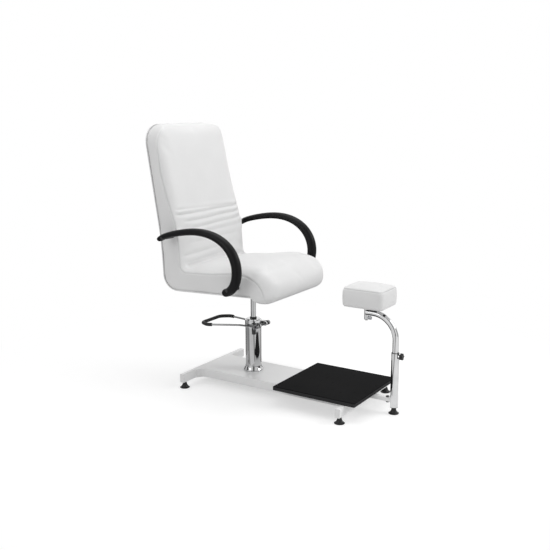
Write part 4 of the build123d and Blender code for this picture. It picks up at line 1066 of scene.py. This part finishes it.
def cover_blocks(piece):
    """Draws the cover out over the hardwood blocks that the arms are screwed to."""
    points = points_of(piece)
    side, across = np.sign(points[:, 0]), np.abs(points[:, 0])
    lift = np.zeros(len(points))
    for corners in block_corners(points_of(NODES["arm_blocks"])):
        lo, hi = corners.min(0), corners.max(0)
        gap = np.maximum(np.maximum(lo - points, points - hi), 0)
        near = np.hypot(gap[:, 1], gap[:, 2])
        outer = max(abs(lo[0]), abs(hi[0])) + MM
        beside = (side == np.sign(lo[0] + hi[0])) & (across > HALF_SEAT - 0.05)
        need = np.clip(outer - across, 0, 0.02) * (1 - smoothstep(near, 0.004, 0.022))
        lift = np.maximum(lift, np.where(beside, need, 0))
    points[:, 0] += side * lift
    put_points(piece, points)


def block_corners(points):
    """Groups the points of the blocks, block by block."""
    groups = []
    for point in points:
        for group in groups:
            if np.linalg.norm(np.array(group[0]) - point) < BLOCK_SPAN:
                group.append(point)
                break
        else:
            groups.append([point])
    return [np.array(group) for group in groups]


# ---------------------------------------------------------------- leg pad
# height above the pad's underside, and how far the side lies inside the pad's straight outline there
PAD_LEVELS = [(0.0, 0.006), (0.006, 0.0), (0.030, -0.0015), (0.055, -0.0015), (0.072, 0.0), (0.079, 0.0025),
              (0.083, 0.008)]
PAD_SEAM_LEVEL = 5
PAD_SIDE = 0.070                # height at which the crown starts
PAD_CROWN = 0.009


def pad_rings(centre, half_x, half_y):
    """Rings of points up the side of the leg pad, whose centre is given at its underside."""
    outline = rounded_outline(half_x, half_y, 0.020, 10)
    rings = []
    for height, inset in PAD_LEVELS:
        fx, fy = (half_x - inset) / half_x, (half_y - inset) / half_y
        rings.append([(centre.x + x * fx, centre.y + y * fy, centre.z + height) for x, y in outline])
    return rings


def crown_pad(piece, centre, half_x, half_y):
    """Raises the middle of the pad's top."""
    points = points_of(piece)
    crown = np.clip(1 - ((points[:, 0] - centre.x) / half_x) ** 2, 0, 1)
    crown *= np.clip(1 - ((points[:, 1] - centre.y) / half_y) ** 2, 0, 1)
    top = smoothstep(points[:, 2], centre.z + PAD_SIDE, centre.z + PAD_LEVELS[-1][0])
    points[:, 2] += top * crown ** 0.6 * PAD_CROWN
    put_points(piece, points)


class CHAIR_OT_leg_pad(bpy.types.Operator):
    """Makes the boxed leg pad with its crowned top and its seams"""
    bl_idname = "chair.leg_pad"
    bl_label = "Leg pad"

    def execute(self, context):
        chosen = upholstery_settings()
        lo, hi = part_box("leg_pad")
        centre = (lo + hi) / 2
        centre.z = lo.z
        half_x, half_y = (hi.x - lo.x) / 2 - 2 * MM, (hi.y - lo.y) / 2 - 2 * MM
        rings = pad_rings(centre, half_x, half_y)
        piece = new_piece("leg_pad_cover", *closed_shell(rings), "white_leatherette")
        tidy_normals(piece)
        remeshed(piece, 0.004)
        sewn = rings[PAD_SEAM_LEVEL]
        top = even_line(sewn + [sewn[0]], 0.0015)
        rest = points_of(piece)
        pinned = np.exp(-(distance_to([top], rest) / PAD_HOLD) ** 2)
        pinned = np.maximum(pinned, (rest[:, 2] < lo.z + 0.005).astype(float))
        inflate(piece, pinned, chosen.pressure * 1.2, chosen.swell)
        crown_pad(piece, centre, half_x, half_y)
        modified(piece, "SMOOTH", factor=0.4, iterations=2)
        subdivided(piece)
        refine_near(piece, [top], 0.005)
        # no painted shade of folds on the pad
        write_attribute(piece, "fold", np.zeros(len(piece.data.vertices)))
        press_seams(piece, [top], chosen.seam_depth * PAD_SEAM_SHARE, PAD_SEAM_WIDTH)
        middle = np.array([centre.x, centre.y, 0])
        row = top + (middle - top) * (0.045, 0.04, 0)
        SEWING["pad"] = [laid_on(piece, row, 0.3 * chosen.thread)]
        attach(piece, "pad")
        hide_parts("leg_pad")
        return {"FINISHED"}


def rounded_outline(half_x, half_y, corner, steps):
    """Counter-clockwise outline of a rectangle with rounded corners, about its centre."""
    outline = []
    for sx, sy, first in ((1, 1, 0), (-1, 1, 90), (-1, -1, 180), (1, -1, 270)):
        for step in range(steps + 1):
            a = math.radians(first + 90 * step / steps)
            outline.append((sx * (half_x - corner) + corner * math.cos(a),
                            sy * (half_y - corner) + corner * math.sin(a)))
    return even_line(np.array(outline + [outline[0]]), 0.006)[:-1].tolist()


# ---------------------------------------------------------------- back panel
def panel_line():
    """(y, z) line down the rear of the shell and round its bend."""
    cover = surface_of(NODES["back_cover"])
    heights = np.linspace(COVER_HI.z - MM, COVER_LO.z + SHELL_BEND, 70)
    line = [ray(cover, COVER_HI.y + 0.3, z, 180) for z in heights]
    y, z = line[-1][0] + BEND_CENTRE[0], line[-1][1] + BEND_CENTRE[1]
    for a in np.linspace(-12, -78, 10):
        turn = math.radians(a)
        line.append(ray(cover, y + 0.4 * math.cos(turn), z + 0.4 * math.sin(turn), a + 180))
    below = np.linspace(line[-1][0] - 0.004, COVER_LO.y + MM, 4)
    return even_line(line + [ray(cover, y, COVER_LO.z - 0.1, 90) for y in below], PANEL_STEP)


def sheet_faces(rows, wide):
    """Faces of two grids of points, front and back, and of the rim between them."""
    shift = rows * wide
    faces = []
    for i in range(rows - 1):
        for a in range(i * wide, i * wide + wide - 1):
            b = a + wide
            faces.append((a, b, b + 1, a + 1))
            faces.append((a + shift, a + 1 + shift, b + 1 + shift, b + shift))
    rim = list(range(wide)) + [i * wide + wide - 1 for i in range(1, rows)]
    rim += [(rows - 1) * wide + j for j in range(wide - 2, -1, -1)]
    rim += [i * wide for i in range(rows - 2, 0, -1)]
    return faces + [(a, a + shift, b + shift, b) for a, b in zip(rim, rim[1:] + rim[:1])]


class CHAIR_OT_back_panel(bpy.types.Operator):
    """Makes the leatherette panel that covers the rear of the back, slightly crowned"""
    bl_idname = "chair.back_panel"
    bl_label = "Rear panel"

    def execute(self, context):
        line = panel_line()
        columns = np.sin(np.linspace(-math.pi / 2, math.pi / 2, 45))
        rows = len(line)
        outer, inner = [], []
        for i, (spot, way) in enumerate(zip(line, line_normals(line))):
            width = HALF_SEAT - MM - corner_drop(spot[1] - (COVER_HI.z - TOP_CORNER))
            above, below = i * PANEL_STEP / PANEL_EDGE, (rows - 1 - i) * PANEL_STEP / PANEL_EDGE
            for t in columns:
                edge = min(1.0, (1 - abs(t)) * width / PANEL_EDGE, above + 0.02, below + 0.02)
                rise = PANEL_CROWN * math.sqrt(max(0.0, 1 - (1 - edge) ** 2)) - MM
                outer.append((t * width, *(spot + way * rise)))
                inner.append((t * width, *(spot - way * PANEL_DEPTH)))
        faces = sheet_faces(rows, len(columns))
        piece = new_piece("back_panel", outer + inner, faces, "white_leatherette")
        tidy_normals(piece)
        subdivided(piece)
        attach(piece, "chair")
        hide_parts("back_cover")
        return {"FINISHED"}


# ---------------------------------------------------------------- sewing
class CHAIR_OT_sewing(bpy.types.Operator):
    """Lays the stitches beside the seams, the piping along the rear joint and the staples under the seat"""
    bl_idname = "chair.sewing"
    bl_label = "Stitches, piping and staples"

    def execute(self, context):
        chosen = upholstery_settings()
        stitches = stitch_tree("stitches", "thread")
        pitch = chosen.stitch_pitch
        sizes = {"Pitch": pitch, "Length": pitch * 0.76, "Thickness": chosen.thread}
        pieces = [
            (grown("chair_stitches", SEWING["chair"], stitches, **sizes), "chair", "white_leatherette"),
            (grown("pad_stitches", SEWING["pad"], stitches, **sizes), "pad", "white_leatherette"),
            (grown("chair_piping", SEWING["chair_welt"], piping_tree("piping", "white_leatherette"),
                   Radius=PIPING_RADIUS), "chair", "white_leatherette"),
            (grown("seat_staples", [self.staple_line()], stitch_tree("staples", "zinc_steel"),
                   Pitch=0.034, Length=0.011, Thickness=0.0013), "chair", "zinc_steel"),
        ]
        for piece, body, slot in pieces:
            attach(piece, body)
        return {"FINISHED"}

    def staple_line(self):
        """Just inside the edge of the dust cloth, on its underside."""
        lo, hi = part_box("bottom_board")
        board = surface_of(NODES["bottom_board"])
        left, right = lo.x + STAPLE_INSET, hi.x - STAPLE_INSET
        front, rear = lo.y + STAPLE_INSET, hi.y - STAPLE_INSET
        corners = [(left, front), (right, front), (right, rear), (left, rear), (left, front)]
        line = []
        for x, y in even_line(corners, 0.01):
            hit = board.ray_cast(Vector((x, y, lo.z - 0.1)), Vector((0, 0, 1)))[0]
            line.append((x, y, hit.z - 0.0003))
        return np.array(line)


# ---------------------------------------------------------------- the plunger's spring
class CHAIR_OT_plunger_spring(bpy.types.Operator):
    """Winds the plunger's spring as a fixed coil, which does not shorten when the pedal presses the plunger
    down
    """
    bl_idname = "chair.plunger_spring"
    bl_label = "Plunger spring"

    def execute(self, context):
        spring = context.scene.chair_spring
        lo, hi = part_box("plunger_spring")
        radius = (hi.x - lo.x - spring.wire) / 2
        turn = np.linspace(0, 2 * math.pi * spring.turns, spring.turns * 20 + 1)
        rise = np.linspace(lo.z + spring.wire / 2, hi.z - spring.wire / 2, len(turn))
        x, y = (lo.x + hi.x) / 2, (lo.y + hi.y) / 2
        line = np.column_stack([x + radius * np.cos(turn), y + radius * np.sin(turn), rise])
        piece = grown("plunger_coil", [line], piping_tree("coil", "spring_steel"), Radius=spring.wire / 2)
        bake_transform(piece)
        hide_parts("plunger_spring")
        return {"FINISHED"}


# ---------------------------------------------------------------- finishes of the solid pieces
class CHAIR_OT_finishes(bpy.types.Operator):
    """Gives every solid piece of the frame its finish"""
    bl_idname = "chair.finishes"
    bl_label = "Finishes"

    def execute(self, context):
        make_finishes()
        slots = {part["node"]: part["material_slot"] for part in frame["record"]["subparts"]}
        for node, piece in NODES.items():
            finish = FINISHES[NODE_FINISH.get(node, slots[node])]
            for slot in piece.material_slots:
                slot.material = finish
        return {"FINISHED"}


# ---------------------------------------------------------------- studio
FLOOR_REACH = 8.0
# where each softbox stands, the point that it faces and its width
SOFTBOXES = {
    "key": ((1.5, -3.3, 2.7), (0, 0.1, 0.7), 1.8),
    "fill": ((-3.0, 0.9, 1.9), (0, 0.1, 0.6), 1.4),
    "top": ((0.2, 0.2, 3.4), (0, 0.1, 0.5), 2.2),
}


class CHAIR_OT_stage(bpy.types.Operator):
    """Makes the floor, the softboxes, the surroundings and the camera"""
    bl_idname = "chair.stage"
    bl_label = "Studio"

    def execute(self, context):
        studio = context.scene.chair_stage
        FINISHES["floor"] = floor_finish()
        far, z = FLOOR_REACH, FLOOR_Z - 0.3 * MM
        corners = [(-far, -far, z), (far, -far, z), (far, far, z), (-far, far, z)]
        new_piece("floor", corners, [(0, 1, 2, 3)], "floor")
        for name, (place, aim, size) in SOFTBOXES.items():
            softbox(name + "_light", place, aim, size, getattr(studio, name + "_power"))
        surroundings(studio.ambient)
        camera = linked("camera", bpy.data.cameras.new("camera"))
        camera.location = studio.place
        camera.rotation_euler = (math.pi / 2 - studio.pitch, 0, studio.azimuth)
        camera.data.lens = studio.lens
        camera.data.sensor_width = 36.0
        context.scene.camera = camera
        context.scene.view_settings.view_transform = "Standard"
        return {"FINISHED"}


def softbox(name, place, aim, size, power):
    light = linked(name, bpy.data.lights.new(name, "AREA"))
    light.data.shape = "SQUARE"
    light.data.size = size
    light.data.energy = power
    light.location = place
    light.rotation_euler = (Vector(aim) - Vector(place)).to_track_quat("-Z", "Y").to_euler()


# grey strips of the studio by bearing, as a share of a turn from due -X, and their brightness
FLOOR_FLAGS = [
    (0.0, 0.80), (0.055, 0.85), (0.078, 0.22), (0.098, 0.20), (0.115, 0.85), (0.20, 0.95), (0.30, 0.90),
    (0.40, 0.80), (0.47, 0.55), (0.52, 0.30), (0.60, 0.06), (0.70, 0.08), (0.765, 0.30), (0.79, 0.65),
    (0.82, 0.32), (0.89, 0.38), (0.92, 0.85), (1.0, 0.80),
]
WORLD_FLAGS = [
    (0.0, 0.80), (0.06, 0.80), (0.085, 0.05), (0.115, 0.05), (0.14, 0.75), (0.26, 0.9), (0.30, 0.08),
    (0.335, 0.04), (0.37, 0.8), (0.50, 0.95), (0.68, 0.95), (0.71, 0.12), (0.75, 0.10), (0.77, 0.85),
    (0.80, 0.9), (0.83, 0.06), (0.87, 0.06), (0.90, 0.85),
]


def floor_finish():
    """White floor that keeps the soft shadow round the chair and fades to plain white further out."""
    look = Shader("floor")
    look.nodes.clear()
    spot = look.add("TexCoord", output="Object")
    reach = look.add("VectorMath", {"operation": "LENGTH"}, output="Value", Vector=spot)
    lit = look.add("BsdfDiffuse", Color=(0.8, 0.8, 0.8, 1))
    flags = look.add("Emission", Color=look.bearing_flags(spot, FLOOR_FLAGS), Strength=0.9)
    shown = look.add("BsdfDiffuse", Color=(0.62, 0.62, 0.62, 1))
    near = look.add("AddShader", sockets=(shown, look.add("Emission", Strength=0.50)))
    far = look.add("Emission", Strength=1.0)
    seen = look.add("MixShader", sockets=(reach.smooth(0.9, 1.7), near, far))
    hidden = look.by_ray("Is Glossy Ray", lit, flags)
    look.add("OutputMaterial", Surface=look.by_ray("Is Camera Ray", hidden, seen))
    return look.material


def surroundings(ambient):
    """White to the camera; to shiny pieces, a pale studio with dark flags, so that chrome has contrast."""
    world = bpy.context.scene.world or bpy.data.worlds.new("World")
    bpy.context.scene.world = world
    look = Shader("World", world)
    look.nodes.clear()
    white = look.add("Background", Color=(1, 1, 1, 1), Strength=1.0)
    soft = look.add("Background", Color=(1, 1, 1, 1), Strength=ambient)
    way = look.add("TexCoord", output="Generated")
    studio = look.add("Background", Color=look.bearing_flags(way, WORLD_FLAGS))
    lit = look.by_ray("Is Glossy Ray", soft, studio)
    look.add("OutputWorld", Surface=look.by_ray("Is Camera Ray", lit, white))


# ---------------------------------------------------------------- panel and registration
class CHAIR_PT_panel(bpy.types.Panel):
    """Lists the steps that dress the chair"""
    bl_idname = "CHAIR_PT_panel"
    bl_label = "Pedicure chair"
    bl_space_type = "VIEW_3D"
    bl_region_type = "UI"
    bl_category = "Chair"

    def draw(self, context):
        for owner, group in GROUPS.items():
            box = self.layout.box()
            for name in group.__annotations__:
                box.prop(getattr(context.scene, owner), name)
        for step in STEPS:
            self.layout.operator(step.bl_idname)


STEPS = (
    CHAIR_OT_finishes,
    CHAIR_OT_upholstery,
    CHAIR_OT_back_panel,
    CHAIR_OT_leg_pad,
    CHAIR_OT_sewing,
    CHAIR_OT_plunger_spring,
    CHAIR_OT_stage,
)
GROUPS = {
    "chair_upholstery": CHAIR_UpholsterySettings,
    "chair_colours": CHAIR_ColourSettings,
    "chair_spring": CHAIR_SpringSettings,
    "chair_stage": CHAIR_StageSettings,
}


def register():
    for cls in (*GROUPS.values(), *STEPS, CHAIR_PT_panel):
        bpy.utils.register_class(cls)
    for name, group in GROUPS.items():
        setattr(bpy.types.Scene, name, bpy.props.PointerProperty(type=group))


def unregister():
    for name in GROUPS:
        delattr(bpy.types.Scene, name)
    for cls in reversed((*GROUPS.values(), *STEPS, CHAIR_PT_panel)):
        bpy.utils.unregister_class(cls)


def main():
    register()
    bpy.ops.chair.finishes()
    bpy.ops.chair.upholstery()
    bpy.ops.chair.back_panel()
    bpy.ops.chair.leg_pad()
    bpy.ops.chair.sewing()
    bpy.ops.chair.plunger_spring()
    bpy.ops.chair.stage()


if __name__ == "__main__":
    main()
